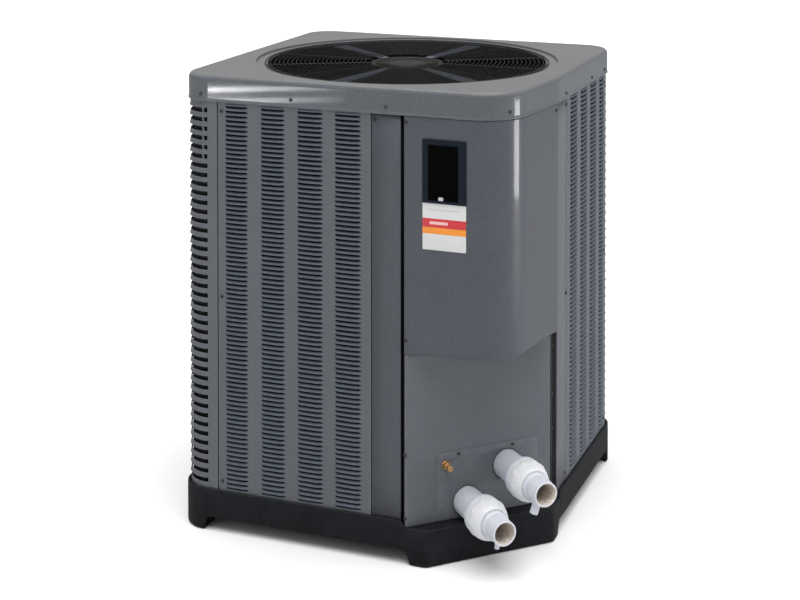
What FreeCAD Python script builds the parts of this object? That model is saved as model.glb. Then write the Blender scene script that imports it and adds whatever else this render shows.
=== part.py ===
import FreeCAD, Part
import math
import os
from FreeCAD import Vector as V

# Pool and spa heat pump, top discharge, chamfered plumbing corner.
# Millimetres. +Z up, +X right, +Y back. The louvred front faces -Y and the plumbing corner
# is at +X -Y. Pieces are drawn about the cabinet's centre, on the floor, and shifted on saving.

# ---------------------------------------------------------------- driving dimensions
CAB_W = 910.0            # cabinet width over the side panels
CAB_D = 846.0            # cabinet depth over the front and back panels
HALF_W, HALF_D = CAB_W / 2, CAB_D / 2
HEIGHT = 1160.0          # floor to the top face of the cover
SHEET = 1.5              # panel thickness
CORNER_R = 72.0          # rounded cabinet corners
CHAMFER = 292.0          # leg of the access panel's corner cut
CHAMFER_K = HALF_W + HALF_D - CHAMFER   # the access panel lies on x - y = CHAMFER_K

PAN_DECK_Z = 87.0        # top of the pan deck, where the panels stand
PANEL_TOP_Z = 1100.0
COVER_OUT = 4.0          # cover stands proud of the panels by this much
COVER_X, COVER_Y = HALF_W + COVER_OUT, HALF_D + COVER_OUT
LEDGE_Z = HEIGHT - 8.0   # floor of the dish in the cover
ORIFICE_R = 372.0        # fan orifice

CTRL_R = 110.0           # front right corner radius of the control cover
CTRL_TAPER = 0.1281      # slope of the control cover's side
CTRL_SEAM_Y = -130.0     # where the control cover ends on the right face
CTRL_BOTTOM_Z, CTRL_TOP_Z = 515.0, 1092.0
CTRL_OUT = 2.0           # control cover stands proud of the panels by this much
CTRL_LEFT_X = 153.0      # left edge of the control cover and of the access panel
CTRL_RIGHT_X = HALF_W + CTRL_OUT
CTRL_FRONT_Y = -HALF_D - CTRL_OUT

GUARD_LEG = 105.0        # reach of a corner guard along each panel
POST_FRONT_X0, POST_FRONT_X1 = 71.0, 146.0
POST_RIGHT_Y0, POST_RIGHT_Y1 = -127.0, -44.0
POST_STEP = 12.0         # the posts' inner flanges are set back this far

EXCHANGER_R = 105.0
EXCHANGER = V(130, -80, 0)

# Puts the centre of the overall footprint, water unions included, on the origin.
ORIGIN_SHIFT = V(-28.951, 22.923, 0)

UP, ALONG_X, ALONG_Y = V(0, 0, 1), V(1, 0, 0), V(0, 1, 0)
FRONT, BACK, LEFT, RIGHT = V(0, -1, 0), V(0, 1, 0), V(-1, 0, 0), V(1, 0, 0)

os.makedirs("parts", exist_ok=True)


# ---------------------------------------------------------------- helpers
def box(x0, y0, z0, x1, y1, z1):
    return Part.makeBox(x1 - x0, y1 - y0, z1 - z0, V(x0, y0, z0))


def cylinder(radius, length, base, axis=UP):
    return Part.makeCylinder(radius, length, V(*base), axis)


def bend(before, corner, after, radius):
    """start, middle and end of the arc that rounds a corner"""
    to_before, to_after = before - corner, after - corner
    to_before.normalize()
    to_after.normalize()
    half_angle = to_before.getAngle(to_after) / 2
    inward = to_before + to_after
    inward.normalize()
    centre = corner + inward * (radius / math.sin(half_angle))
    tangent = radius / math.tan(half_angle)
    return corner + to_before * tangent, centre - inward * radius, corner + to_after * tangent


def rounded(points, radii):
    """closed wire through (x, y) points, each corner rounded by its radius"""
    corners = [V(x, y, 0) for x, y in points]
    count = len(corners)
    arcs = []
    for i, (corner, radius) in enumerate(zip(corners, radii)):
        if radius <= 0:
            arcs.append((corner, None, corner))
        else:
            arcs.append(bend(corners[i - 1], corner, corners[(i + 1) % count], radius))
    edges = []
    for i, (start, middle, end) in enumerate(arcs):
        if middle is not None:
            edges.append(Part.Arc(start, middle, end).toShape())
        next_start = arcs[(i + 1) % count][0]
        if (next_start - end).Length > 1e-6:
            edges.append(Part.makeLine(end, next_start))
    return Part.Wire(Part.__sortEdges__(edges))


def prism(points, radii, z0, z1):
    """upright prism with rounded corners"""
    face = Part.Face(rounded(points, radii))
    face.translate(V(0, 0, z0))
    return face.extrude(V(0, 0, z1 - z0))


def sharp_prism(points, z0, z1):
    corners = [V(x, y, z0) for x, y in points]
    return Part.Face(Part.makePolygon(corners + corners[:1])).extrude(V(0, 0, z1 - z0))


def hexagon(radius, z0, z1):
    angles = [k * math.pi / 3 for k in range(6)]
    return sharp_prism([(radius * math.cos(a), radius * math.sin(a)) for a in angles], z0, z1)


def placed(shape, base, axis):
    """shape with its origin moved to base and its Z turned to axis"""
    shape.Placement = FreeCAD.Placement(base, FreeCAD.Rotation(UP, axis))
    return shape


def revolve(profile, base=V(0, 0, 0), axis=UP):
    """solid of revolution from (radius, distance along axis) points"""
    wire = Part.makePolygon([V(r, 0, t) for r, t in profile + profile[:1]])
    return placed(Part.Face(wire).revolve(V(0, 0, 0), UP, 360), base, axis)


def rod(points, radius, bend_r):
    """round bar swept along a path with rounded bends"""
    path = [V(*p) for p in points]
    edges, last = [], path[0]
    for before, corner, after in zip(path, path[1:], path[2:]):
        start, middle, end = bend(before, corner, after, bend_r)
        edges.append(Part.makeLine(last, start))
        edges.append(Part.Arc(start, middle, end).toShape())
        last = end
    edges.append(Part.makeLine(last, path[-1]))
    section = Part.Wire(Part.Circle(path[0], path[1] - path[0], radius).toShape())
    return Part.Wire(edges).makePipeShell([section], True, False)


def fuse(shapes):
    return shapes[0].multiFuse(shapes[1:]).removeSplitter()


def largest(shape):
    return max(shape.Solids, key=lambda solid: solid.Volume)


def flat_edges(shape, z):
    """edges that lie wholly at height z"""
    return [e for e in shape.Edges
            if abs(e.BoundBox.ZMin - z) < 1e-6 and abs(e.BoundBox.ZMax - z) < 1e-6]


def tapered_corner_x(right, depth):
    """x where the tapered side, starting from right at the seam, meets y = -depth"""
    return right - CTRL_TAPER * (depth + CTRL_SEAM_Y)


def exchanger_core():
    """cylinder that trims pieces where they meet the heat exchanger"""
    return cylinder(EXCHANGER_R, 500, EXCHANGER + V(0, 0, 60))


def save(name, *shapes):
    group = Part.makeCompound(list(shapes))
    group.translate(ORIGIN_SHIFT)
    solids = group.Solids
    assert solids, name
    for solid in solids:
        assert solid.isValid() and solid.Volume > 0, name
    result = Part.makeCompound(solids) if len(solids) > 1 else solids[0]
    result.exportStep("parts/%s.step" % name)


# ---------------------------------------------------------------- casing screws
# Placed first, so that each panel can be drilled for them.
SCREW_HOLE_R = 2.1
screws = []              # (point on the outer surface, outward direction)


def add_screws(outward, *points):
    screws.extend((V(*p), outward) for p in points)


def screw_solid(point, outward):
    head = revolve([(0, 0), (4.6, 0), (4.6, 1.2), (3.2, 2.3), (0, 2.6)], point, outward)
    return fuse([head, cylinder(1.9, 7.0, point - outward * 7.0, outward)])


# cover skirt
add_screws(FRONT, *[(x, -COVER_Y, 1111) for x in (-395, -144, 109)])
add_screws(RIGHT, *[(COVER_X, y, 1107) for y in (-65, 192, 330)])
add_screws(BACK, *[(x, COVER_Y, 1109) for x in (-330, 0, 330)])
add_screws(LEFT, *[(-COVER_X, y, 1109) for y in (-330, 0, 330)])
# rounded front right corner of the skirt
skirt_r = CTRL_R + COVER_OUT
corner_y = -COVER_Y + skirt_r
corner_x = (COVER_X - CTRL_TAPER * CTRL_SEAM_Y - skirt_r * math.hypot(1, CTRL_TAPER)
            + CTRL_TAPER * corner_y)
corner_angle = math.radians(-38)
corner_out = V(math.cos(corner_angle), math.sin(corner_angle), 0)
add_screws(corner_out, V(corner_x, corner_y, 1111) + corner_out * skirt_r)
# posts
add_screws(FRONT, (79, -HALF_D, 1079), (79, -HALF_D, 127))
add_screws(RIGHT, (HALF_W, -50, 1076), (HALF_W, -50, 590), (HALF_W, -56, 128))
# panels
for z in (130, 600, 1070):
    add_screws(BACK, (-338, HALF_D, z), (338, HALF_D, z))
    add_screws(LEFT, (-HALF_W, -306, z), (-HALF_W, 306, z))
    add_screws(FRONT, (-338, -HALF_D, z))
    add_screws(RIGHT, (HALF_W, 343, z))
# left edges of the control cover and the access panel
add_screws(FRONT, (160, CTRL_FRONT_Y, 1078), (160, CTRL_FRONT_Y, 547))
add_screws(FRONT, (158, -HALF_D, 265), (158, -HALF_D, 110))
# recessed strip beside the access panel
add_screws(RIGHT, *[(HALF_W - POST_STEP, -134, z) for z in (480, 356, 267)])
# right edge of the control cover
taper_out = V(1, -CTRL_TAPER, 0)
taper_out.normalize()
add_screws(taper_out, (CTRL_RIGHT_X - CTRL_TAPER * 12, CTRL_SEAM_Y - 12, 1076))

hole_tools = [cylinder(SCREW_HOLE_R, 13, p - outward * 10, outward) for p, outward in screws]


def drilled(shape):
    bounds = shape.BoundBox
    tools = [tool for tool in hole_tools if bounds.intersect(tool.BoundBox)]
    return shape.cut(Part.makeCompound(tools)) if tools else shape


# ---------------------------------------------------------------- base pan
PAN_OUT = 8.0            # pan stands proud of the panels by this much
PAN_RIM_Z = 106.0        # top of the rim
PAN_EDGE_Z = 33.0        # underside of the edge between feet
PAN_CHAMFER = 248.0      # leg of the corner cut
PAN_WALL = 7.0
PAN_R = 76.0             # rounded corners
PAN_X, PAN_Y = HALF_W + PAN_OUT, HALF_D + PAN_OUT


def pan_prism(inset, cut_r, z0, z1):
    """prism of the pan outline pulled in by inset, cut_r rounding the ends of the corner cut"""
    x, y, r = PAN_X - inset, PAN_Y - inset, PAN_R - inset
    # the cut moves in by inset, square to itself
    leg = PAN_CHAMFER - inset * (2 - math.sqrt(2))
    outline = [(-x, -y), (x - leg, -y), (x, -y + leg), (x, y), (-x, y)]
    return prism(outline, [r, cut_r, cut_r, r, r], z0, z1)


deck = pan_prism(0, 22, PAN_DECK_Z - 7, PAN_DECK_Z)
wall = pan_prism(0, 22, PAN_EDGE_Z, PAN_DECK_Z)
wall = wall.cut(pan_prism(PAN_WALL, 16, PAN_EDGE_Z - 1, PAN_DECK_Z - 7))
rim = pan_prism(0, 22, PAN_DECK_Z - 1, PAN_RIM_Z)
rim = rim.cut(pan_prism(PAN_WALL, 16, PAN_DECK_Z - 2, PAN_RIM_Z + 1))
# no rim along the plumbing corner
rim_gap = [(155, -700), (700, -700), (700, -120), (HALF_W - 4, -120), (155, -420)]
rim = rim.cut(sharp_prism(rim_gap, PAN_DECK_Z, PAN_DECK_Z + 60))

foot_block = pan_prism(0, 22, 0, PAN_DECK_Z - 3)
foot_regions = [
    box(-500, -500, 0, -385, -355, 100),
    box(-500, 355, 0, -385, 500, 100),
    box(385, 355, 0, 500, 500, 100),
    sharp_prism([(165, -500), (700, -500), (700, -140), (405, -140), (165, -380)], 0, 100),
]
feet = []
for region in foot_regions:
    foot = foot_block.common(region)
    # guards against a foot whose bottom edges cannot take the chamfer: it stays square
    try:
        foot = foot.makeChamfer(9.0, flat_edges(foot, 0))
    except Exception:
        pass
    feet.append(foot)
ribs = [
    box(-PAN_X + 5, -4, 50, PAN_X - 5, 4, 82),
    box(-204, -PAN_Y + 5, 50, -196, PAN_Y - 5, 82),
    box(196, -380, 50, 204, PAN_Y - 5, 82),
]
save("base_pan", fuse([deck, wall, rim] + feet + ribs))

# ---------------------------------------------------------------- top cover
COVER_SKIRT_Z = 1093.0   # bottom of the skirt
COVER_T = 2.0
COVER_EDGE_R = 12.0
DISH_R = 402.0           # outer circle of the fan dish
SHROUD_Z = 1040.0        # bottom of the orifice shroud


def cover_block(inset, z0, z1):
    """solid cover pulled in by inset, with a rounded top edge"""
    x, y, r = COVER_X - inset, COVER_Y - inset, CORNER_R + COVER_OUT - inset
    outline = [(-x, -y), (tapered_corner_x(x, y), -y), (x, CTRL_SEAM_Y), (x, y), (-x, y)]
    block = prism(outline, [r, CTRL_R + COVER_OUT - inset, 300, r, r], z0, z1)
    return block.makeFillet(COVER_EDGE_R - inset, flat_edges(block, z1))


cover = cover_block(0, COVER_SKIRT_Z, HEIGHT)
cover = cover.cut(cover_block(COVER_T, COVER_SKIRT_Z - 1, HEIGHT - COVER_T))
cover = cover.cut(cylinder(DISH_R, 40, (0, 0, HEIGHT - 20)))
dish = revolve([
    (ORIFICE_R, SHROUD_Z), (ORIFICE_R + COVER_T, SHROUD_Z),
    (ORIFICE_R + COVER_T, LEDGE_Z - COVER_T), (DISH_R + COVER_T, LEDGE_Z - COVER_T),
    (DISH_R + COVER_T, HEIGHT), (DISH_R, HEIGHT),
    (DISH_R, LEDGE_Z), (ORIFICE_R, LEDGE_Z),
])
save("top_cover", drilled(fuse([cover, dish])))

# ---------------------------------------------------------------- fan guard
RING_R0 = 112            # inner radius of the first row of cells
RING_PITCH = 11.5
RING_ROWS = 23
RADIAL_WIRES = 12
WIRE = 3.0               # width of the rings and radial wires


def ring_cell(r0, r1, a0, a1):
    """closed wire between two radii and two angles, radians"""
    def at(r, a):
        return V(r * math.cos(a), r * math.sin(a), 0)

    middle = (a0 + a1) / 2
    return Part.Wire([
        Part.Arc(at(r0, a0), at(r0, middle), at(r0, a1)).toShape(),
        Part.makeLine(at(r0, a1), at(r1, a1)),
        Part.Arc(at(r1, a1), at(r1, middle), at(r1, a0)).toShape(),
        Part.makeLine(at(r1, a0), at(r0, a0)),
    ])


wires = [Part.Wire(Part.Circle(V(0, 0, 0), UP, ORIFICE_R + 8).toShape())]
for row in range(RING_ROWS):
    r0 = RING_R0 + RING_PITCH * row
    half_wire = math.asin(WIRE / 2 / r0)
    for k in range(RADIAL_WIRES):
        wires.append(ring_cell(r0, r0 + RING_PITCH - WIRE,
                               2 * math.pi * k / RADIAL_WIRES + half_wire,
                               2 * math.pi * (k + 1) / RADIAL_WIRES - half_wire))
guard_face = Part.Face(wires)
guard_face.validate()
guard_face.translate(V(0, 0, LEDGE_Z))
save("fan_guard", guard_face.extrude(V(0, 0, 3.2)))

# ---------------------------------------------------------------- louvred panels
LOUVRE_PITCH = 11.8
LOUVRE_H = 5.0
LOUVRE_Z0 = 112.0
LOUVRE_ROWS = 83
GUARD_GAP = 0.5          # panel edge to corner guard
POST_GAP = 1.0           # panel edge to post


def louvre_sheet(x0, x1, columns):
    """flat panel in the X-Z plane, outer face at y=0, thickness towards +Y"""
    def rectangle(x0, x1, z0, z1):
        return [V(x0, 0, z0), V(x1, 0, z0), V(x1, 0, z1), V(x0, 0, z1), V(x0, 0, z0)]

    wires = [Part.makePolygon(rectangle(x0, x1, PAN_DECK_Z, PANEL_TOP_Z))]
    for slot_x0, slot_x1 in columns:
        for row in range(LOUVRE_ROWS):
            z = LOUVRE_Z0 + row * LOUVRE_PITCH
            slot = rectangle(slot_x0, slot_x1, z, z + LOUVRE_H)
            wires.append(Part.makePolygon(slot[::-1]))
    face = Part.Face(wires)
    face.validate()
    return face.extrude(V(0, SHEET, 0))


guard_edge_x = HALF_W - GUARD_LEG - GUARD_GAP
guard_edge_y = HALF_D - GUARD_LEG - GUARD_GAP
# side, panel start and end, (start, end) of each louvre column, turn in degrees, outer face;
# starts and ends run left to right as seen from outside
LOUVRE_PANELS = [
    ("front", -guard_edge_x, POST_FRONT_X0 - POST_GAP,
     [(-327, -263), (-228, -161), (-128, -58), (-27, 44)], 0, V(0, -HALF_D, 0)),
    ("right", POST_RIGHT_Y1 + POST_GAP, HALF_D - CORNER_R - GUARD_GAP,
     [(-9, 61), (93, 161), (190, 259), (287, 333)], 90, V(HALF_W, 0, 0)),
    ("back", -guard_edge_x, guard_edge_x,
     [(-335 + 100.5 * i, -268 + 100.5 * i) for i in range(7)], 180, V(0, HALF_D, 0)),
    ("left", -guard_edge_y, guard_edge_y,
     [(-296 + 105 * i, -229 + 105 * i) for i in range(6)], -90, V(-HALF_W, 0, 0)),
]
for side, start, end, columns, turn, outer_face in LOUVRE_PANELS:
    panel = louvre_sheet(start, end, columns)
    panel.rotate(V(0, 0, 0), UP, turn)
    panel.translate(outer_face)
    save("louver_panel_" + side, drilled(panel))

# ---------------------------------------------------------------- rounded corner guards
SLOT_PITCH = 23.6
SLOT_H = 10.0
SLOT_Z0 = 120.0
SLOT_ROWS = 41
SLOT_REACH = 78          # slots wrap round the corner this far along a full leg


def corner_guard(leg_y, slot_y):
    """guard with its corner on the origin and its legs along +X and +Y"""
    outer = prism([(0, 0), (GUARD_LEG, 0), (GUARD_LEG, 60 + leg_y), (0, leg_y)],
                  [CORNER_R, 0, 0, 0], PAN_DECK_Z, PANEL_TOP_Z)
    outer = outer.common(box(0, 0, 0, GUARD_LEG, leg_y, 2000))
    inner = prism([(SHEET, SHEET), (GUARD_LEG + 50, SHEET),
                   (GUARD_LEG + 50, leg_y + 50), (SHEET, leg_y + 50)],
                  [CORNER_R - SHEET, 0, 0, 0], PAN_DECK_Z - 1, PANEL_TOP_Z + 1)
    # thin upright bar that splits the top rows of slots
    bar = cylinder(3.0, 300, (64, -5, SLOT_Z0 + (SLOT_ROWS - 6) * SLOT_PITCH - 4))
    slots = []
    for row in range(SLOT_ROWS):
        z = SLOT_Z0 + row * SLOT_PITCH
        slots.append(box(-5, -5, z, SLOT_REACH, slot_y, z + SLOT_H).cut(bar))
    return outer.cut(inner).cut(Part.makeCompound(slots))


# corner, y leg, slot reach along the y leg, mirror directions, x and y of the corner
CORNER_GUARDS = [
    ("front_left", GUARD_LEG, SLOT_REACH, [], -HALF_W, -HALF_D),
    ("back_left", GUARD_LEG, SLOT_REACH, [ALONG_Y], -HALF_W, HALF_D),
    ("back_right", CORNER_R, 60, [ALONG_Y, ALONG_X], HALF_W, HALF_D),
]
for corner, leg_y, slot_y, mirrors, x, y in CORNER_GUARDS:
    guard = corner_guard(leg_y, slot_y)
    for direction in mirrors:
        guard = guard.mirror(V(0, 0, 0), direction)
    guard.translate(V(x, y, 0))
    save("corner_guard_" + corner, drilled(guard))

# ---------------------------------------------------------------- posts beside the control corner
# each is a face, a return behind its edge and a flange set back by POST_STEP
STEP_BACK = POST_STEP + SHEET


def post_strip(x0, y0, x1, y1):
    return box(x0, y0, PAN_DECK_Z, x1, y1, PANEL_TOP_Z)


save("post_front", drilled(fuse([
    post_strip(POST_FRONT_X0, -HALF_D, POST_FRONT_X1, -HALF_D + SHEET),
    post_strip(POST_FRONT_X1 - SHEET, -HALF_D, POST_FRONT_X1, -HALF_D + STEP_BACK),
    post_strip(POST_FRONT_X1 - SHEET, -HALF_D + POST_STEP, 164, -HALF_D + STEP_BACK),
])))
save("post_right", drilled(fuse([
    post_strip(HALF_W - SHEET, POST_RIGHT_Y0, HALF_W, POST_RIGHT_Y1),
    post_strip(HALF_W - STEP_BACK, POST_RIGHT_Y0, HALF_W, POST_RIGHT_Y0 + SHEET),
    post_strip(HALF_W - STEP_BACK, POST_RIGHT_Y0 - 14,
               HALF_W - POST_STEP, POST_RIGHT_Y0 + SHEET),
])))

# ---------------------------------------------------------------- control cover
CTRL_T = 2.0
CTRL_INNER_X = 443.5     # right edge of the floor, behind the seam
WIN_X0, WIN_X1, WIN_Z0, WIN_Z1 = 203.0, 315.0, 887.0, 1041.0      # display bezel
DOOR_X0, DOOR_X1, DOOR_Z0, DOOR_Z1 = 218.0, 294.0, 893.0, 1027.0  # opening in the bezel


def door_box(margin, y0, y1):
    """box over the bezel's opening, larger by margin all round"""
    return box(DOOR_X0 - margin, y0, DOOR_Z0 - margin, DOOR_X1 + margin, y1, DOOR_Z1 + margin)


ctrl_corner_x = tapered_corner_x(CTRL_RIGHT_X, -CTRL_FRONT_Y)
body = prism([
    (CTRL_LEFT_X, CTRL_FRONT_Y), (ctrl_corner_x, CTRL_FRONT_Y), (CTRL_RIGHT_X, CTRL_SEAM_Y),
    (CTRL_INNER_X, CTRL_SEAM_Y), (CTRL_INNER_X, CTRL_INNER_X - CHAMFER_K),
    (165, 165 - CHAMFER_K), (CTRL_LEFT_X, 165 - CHAMFER_K),
], [0, CTRL_R + CTRL_T, 0, 0, 0, 0, 0], CTRL_BOTTOM_Z, CTRL_TOP_Z)
hollow = prism([
    (CTRL_LEFT_X + CTRL_T, CTRL_FRONT_Y + CTRL_T), (ctrl_corner_x - CTRL_T, CTRL_FRONT_Y + CTRL_T),
    (CTRL_RIGHT_X - 2.3, CTRL_SEAM_Y - CTRL_T), (400, -100), (CTRL_LEFT_X + CTRL_T, -380),
], [0, CTRL_R, 0, 0, 0], CTRL_BOTTOM_Z + CTRL_T, CTRL_TOP_Z + 5)
control_cover = body.cut(hollow).cut(door_box(2.6, -440, -415))
save("control_cover", largest(drilled(control_cover)))

# ---------------------------------------------------------------- chamfer: panel and plate
OUT = V(1, -1, 0)        # outward from the chamfer
OUT.normalize()
ALONG = V(1, 1, 0)       # along the chamfer, from its front end
ALONG.normalize()
CHAMFER_START = V(HALF_W - CHAMFER, -HALF_D, 0)
ACCESS_END_S = CHAMFER * math.sqrt(2) - 18
PLATE_SCREW_S = (138, 287)
PLATE_SCREW_Z = 249
BRASS_S, BRASS_Z = 102.0, 226.0

# the two water ports, all ends along OUT measured from the chamfer's plane:
# s, z = place on the chamfer; stub_t = start of the stub's clear end; boss_r = drain boss radius;
# reach = drain plug's reach below the axis; lean = its lean in degrees
PORTS = {
    "in": dict(s=160.0, z=128.0, stub_t=181.0, boss_r=6.0, reach=48.0, lean=6.0),
    "out": dict(s=270.0, z=202.0, stub_t=190.0, boss_r=10.5, reach=56.0, lean=20.0),
}


def chamfer_point(s, t, z):
    """point s along the chamfer, t out from it, at height z"""
    return CHAMFER_START + ALONG * s + OUT * t + V(0, 0, z)


def axis_point(port, t):
    return chamfer_point(port["s"], t, port["z"])


def on_chamfer(s0, s1, z0, z1, t0, t1):
    corners = [chamfer_point(s, t, 0) for s, t in ((s0, t0), (s1, t0), (s1, t1), (s0, t1))]
    return sharp_prism([(p.x, p.y) for p in corners], z0, z1)


access_panel = fuse([
    on_chamfer(0, ACCESS_END_S, PAN_DECK_Z, CTRL_BOTTOM_Z, -SHEET, 0),
    box(CTRL_LEFT_X, -HALF_D, PAN_DECK_Z,
        CHAMFER_START.x + 0.7, -HALF_D + SHEET, CTRL_BOTTOM_Z),
    on_chamfer(ACCESS_END_S - SHEET, ACCESS_END_S, PAN_DECK_Z, CTRL_BOTTOM_Z, -12, 0),
])
access_panel = access_panel.cut(on_chamfer(90, 345, PAN_DECK_Z - 6, 244, -20, 5))
for s in PLATE_SCREW_S:
    hole = cylinder(SCREW_HOLE_R, 20, chamfer_point(s, -10, PLATE_SCREW_Z), OUT)
    access_panel = access_panel.cut(hole)
save("access_panel", drilled(access_panel))

plate = on_chamfer(78, 357, PAN_DECK_Z + 3, 257, 0, SHEET)
for port in PORTS.values():
    plate = plate.cut(cylinder(40.0, 40, axis_point(port, -20), OUT))
plate = plate.cut(cylinder(9.2, 40, chamfer_point(BRASS_S, -20, BRASS_Z), OUT))
screw_solids = [screw_solid(point, outward) for point, outward in screws]
for s in PLATE_SCREW_S:
    point = chamfer_point(s, SHEET, PLATE_SCREW_Z)
    plate = plate.cut(cylinder(SCREW_HOLE_R, 20, point - OUT * 10, OUT))
    screw_solids.append(screw_solid(point, OUT))
save("plumbing_plate", plate)
save("casing_screws", *screw_solids)

# ---------------------------------------------------------------- water unions
PIPE_R = 30.15           # 2 inch PVC pipe, outside radius
BORE_R = 25.5
INNER_PIPE_R = 29.5      # pipe inside the cabinet, outside radius
SOCKET_R = INNER_PIPE_R + 0.02
TAIL_SOCKET_R = PIPE_R + 0.9
# distances out from the chamfer's plane
SOCKET_T = -25           # outer end of the inner pipe
BODY_T0, BODY_T1 = -60.0, 98.0
FLARE_T0, FLARE_T1 = 70.0, 84.0
THREAD_T1 = 118.0        # end of the union body
SEAL_T1 = THREAD_T1 + 3
COLLAR_T1 = 131.0
NUT_T0, NUT_T1 = 99.0, 150.0
TAIL_T1 = 206.0
PLUG_HEAD_AT = 38.2      # below the axis


def union_body(base):
    return revolve([
        (SOCKET_R, BODY_T0), (36.2, BODY_T0), (36.2, FLARE_T0), (48.0, FLARE_T1),
        (48.0, BODY_T1), (43.0, BODY_T1), (43.0, THREAD_T1), (BORE_R, THREAD_T1),
        (BORE_R, SOCKET_T), (SOCKET_R, SOCKET_T),
    ], base, OUT)


def union_tail(port, base, boss_at, down):
    """stub beyond the nut, with the drain boss under it"""
    stub_t, boss_r = port["stub_t"], port["boss_r"]
    tail = revolve([
        (BORE_R, SEAL_T1), (42.0, SEAL_T1), (42.0, COLLAR_T1), (34.0, COLLAR_T1), (34.0, 157),
        (TAIL_SOCKET_R, 160), (TAIL_SOCKET_R, stub_t), (PIPE_R, stub_t),
        (PIPE_R, TAIL_T1), (BORE_R, TAIL_T1),
    ], base, OUT)
    bore = cylinder(BORE_R, 90, axis_point(port, 130), OUT)
    tail = fuse([tail, cylinder(boss_r, 38, boss_at, down).cut(bore)])
    return tail.cut(cylinder(3.06, 40, boss_at, down))


def drain_plug(port, boss_at, down):
    head = hexagon(port["boss_r"], 0, port["reach"] - PLUG_HEAD_AT)
    head = placed(head, boss_at + down * PLUG_HEAD_AT, down)
    return fuse([head, cylinder(3.0, 10.2, boss_at + down * 28.0, down)])


def union_nut(base):
    nut = revolve([
        (43.08, NUT_T0), (47.0, NUT_T0), (48.8, NUT_T0 + 2.5), (48.8, NUT_T0 + 21),
        (46.5, NUT_T0 + 32), (42.0, NUT_T1 - 7), (37.5, NUT_T1), (34.2, NUT_T1),
        (34.2, COLLAR_T1 + 0.4), (43.08, COLLAR_T1 + 0.4),
    ], base, OUT)
    to_axis = FreeCAD.Placement(base, FreeCAD.Rotation(UP, OUT))
    grips = []
    for k in range(10):
        grip = box(47.5, -6, NUT_T0 + 4, 50.2, 6, NUT_T0 + 22)
        grip.rotate(V(0, 0, 0), UP, 36 * k)
        grip.Placement = to_axis.multiply(grip.Placement)
        grips.append(grip)
    return fuse([nut] + grips)


def sleeve(r0, r1, t0, t1, base):
    return revolve([(r0, t0), (r1, t0), (r1, t1), (r0, t1)], base, OUT)


def water_pipe(base):
    """pipe from the heat exchanger to the union body"""
    pipe = sleeve(BORE_R, INNER_PIPE_R, -300, SOCKET_T, base).cut(exchanger_core())
    # drop the length beyond the heat exchanger
    return [s for s in pipe.Solids if (s.CenterOfMass - base).Length < 180][0]


bodies, tails, seals, grommets, pipes = [], [], [], [], []
for side, port in PORTS.items():
    base = axis_point(port, 0)
    lean = math.radians(port["lean"])
    sideways = -math.sin(lean) / math.sqrt(2)
    down = V(sideways, sideways, -math.cos(lean))
    boss_at = axis_point(port, 168.0 + port["boss_r"])
    bodies.append(union_body(base))
    seals.append(sleeve(28.0, 40.0, THREAD_T1, SEAL_T1, base))
    tails.append(union_tail(port, base, boss_at, down))
    save("drain_plug_" + side, drain_plug(port, boss_at, down))
    save("union_nut_" + side, union_nut(base))
    grommets.append(sleeve(36.3, 40.0, -6, 3, base))
    pipes.append(water_pipe(base))
save("union_bodies", *bodies)
save("union_seals", *seals)
save("union_tails", *tails)
save("pipe_grommets", *grommets)
save("water_pipes", *pipes)

BRASS_HEX_R = 8.6
brass = fuse([
    hexagon(BRASS_HEX_R, 3, 14),
    cylinder(5.2, 60, (0, 0, -32)),
    hexagon(BRASS_HEX_R * 0.86, 22, 30),
])
save("brass_fitting", placed(brass, chamfer_point(BRASS_S, 0, BRASS_Z), OUT))

# ---------------------------------------------------------------- display
HINGE_Y, HINGE_Z = -426.0, 1023.5
KEYPAD_Y = -411          # front face of the keypad and screen
SCREEN_BACK_Y = -408.5
SLEEVE_BACK_Y = -404     # rear of the bezel's sleeve and of the keys
KEY_FRONT_Y = -412.6
SCREEN_X0, SCREEN_X1, SCREEN_Z0, SCREEN_Z1 = 224, 288, 968, 1010
KEYS = {"key_power": (238, 946), "key_mode": (274, 946),      # centre x, z
        "key_down": (238, 920), "key_up": (274, 920)}
DOOR_W = DOOR_X1 - DOOR_X0


def key_box(x, z, margin, y0, y1):
    """box over a key's 18 x 12 cap, larger by margin all round"""
    half_x, half_z = 9 + margin, 6 + margin
    return box(x - half_x, y0, z - half_z, x + half_x, y1, z + half_z)


bezel = fuse([box(WIN_X0, CTRL_FRONT_Y - 3, WIN_Z0, WIN_X1, CTRL_FRONT_Y, WIN_Z1),
              door_box(2.5, CTRL_FRONT_Y, SLEEVE_BACK_Y)])
bezel = bezel.cut(door_box(0, -430, -400))
bezel = bezel.cut(cylinder(1.25, DOOR_W + 4, (DOOR_X0 - 2, HINGE_Y, HINGE_Z), ALONG_X))
save("display_bezel", bezel)

save("display_door", fuse([
    door_box(-0.6, -427.2, -424.8),
    box(245, -430.5, DOOR_Z0 + 1.5, 257, -427.2, DOOR_Z0 + 9),                    # finger tab
    cylinder(1.2, DOOR_W + 3, (DOOR_X0 - 1.5, HINGE_Y, HINGE_Z), ALONG_X),        # hinge pin
]))

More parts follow.
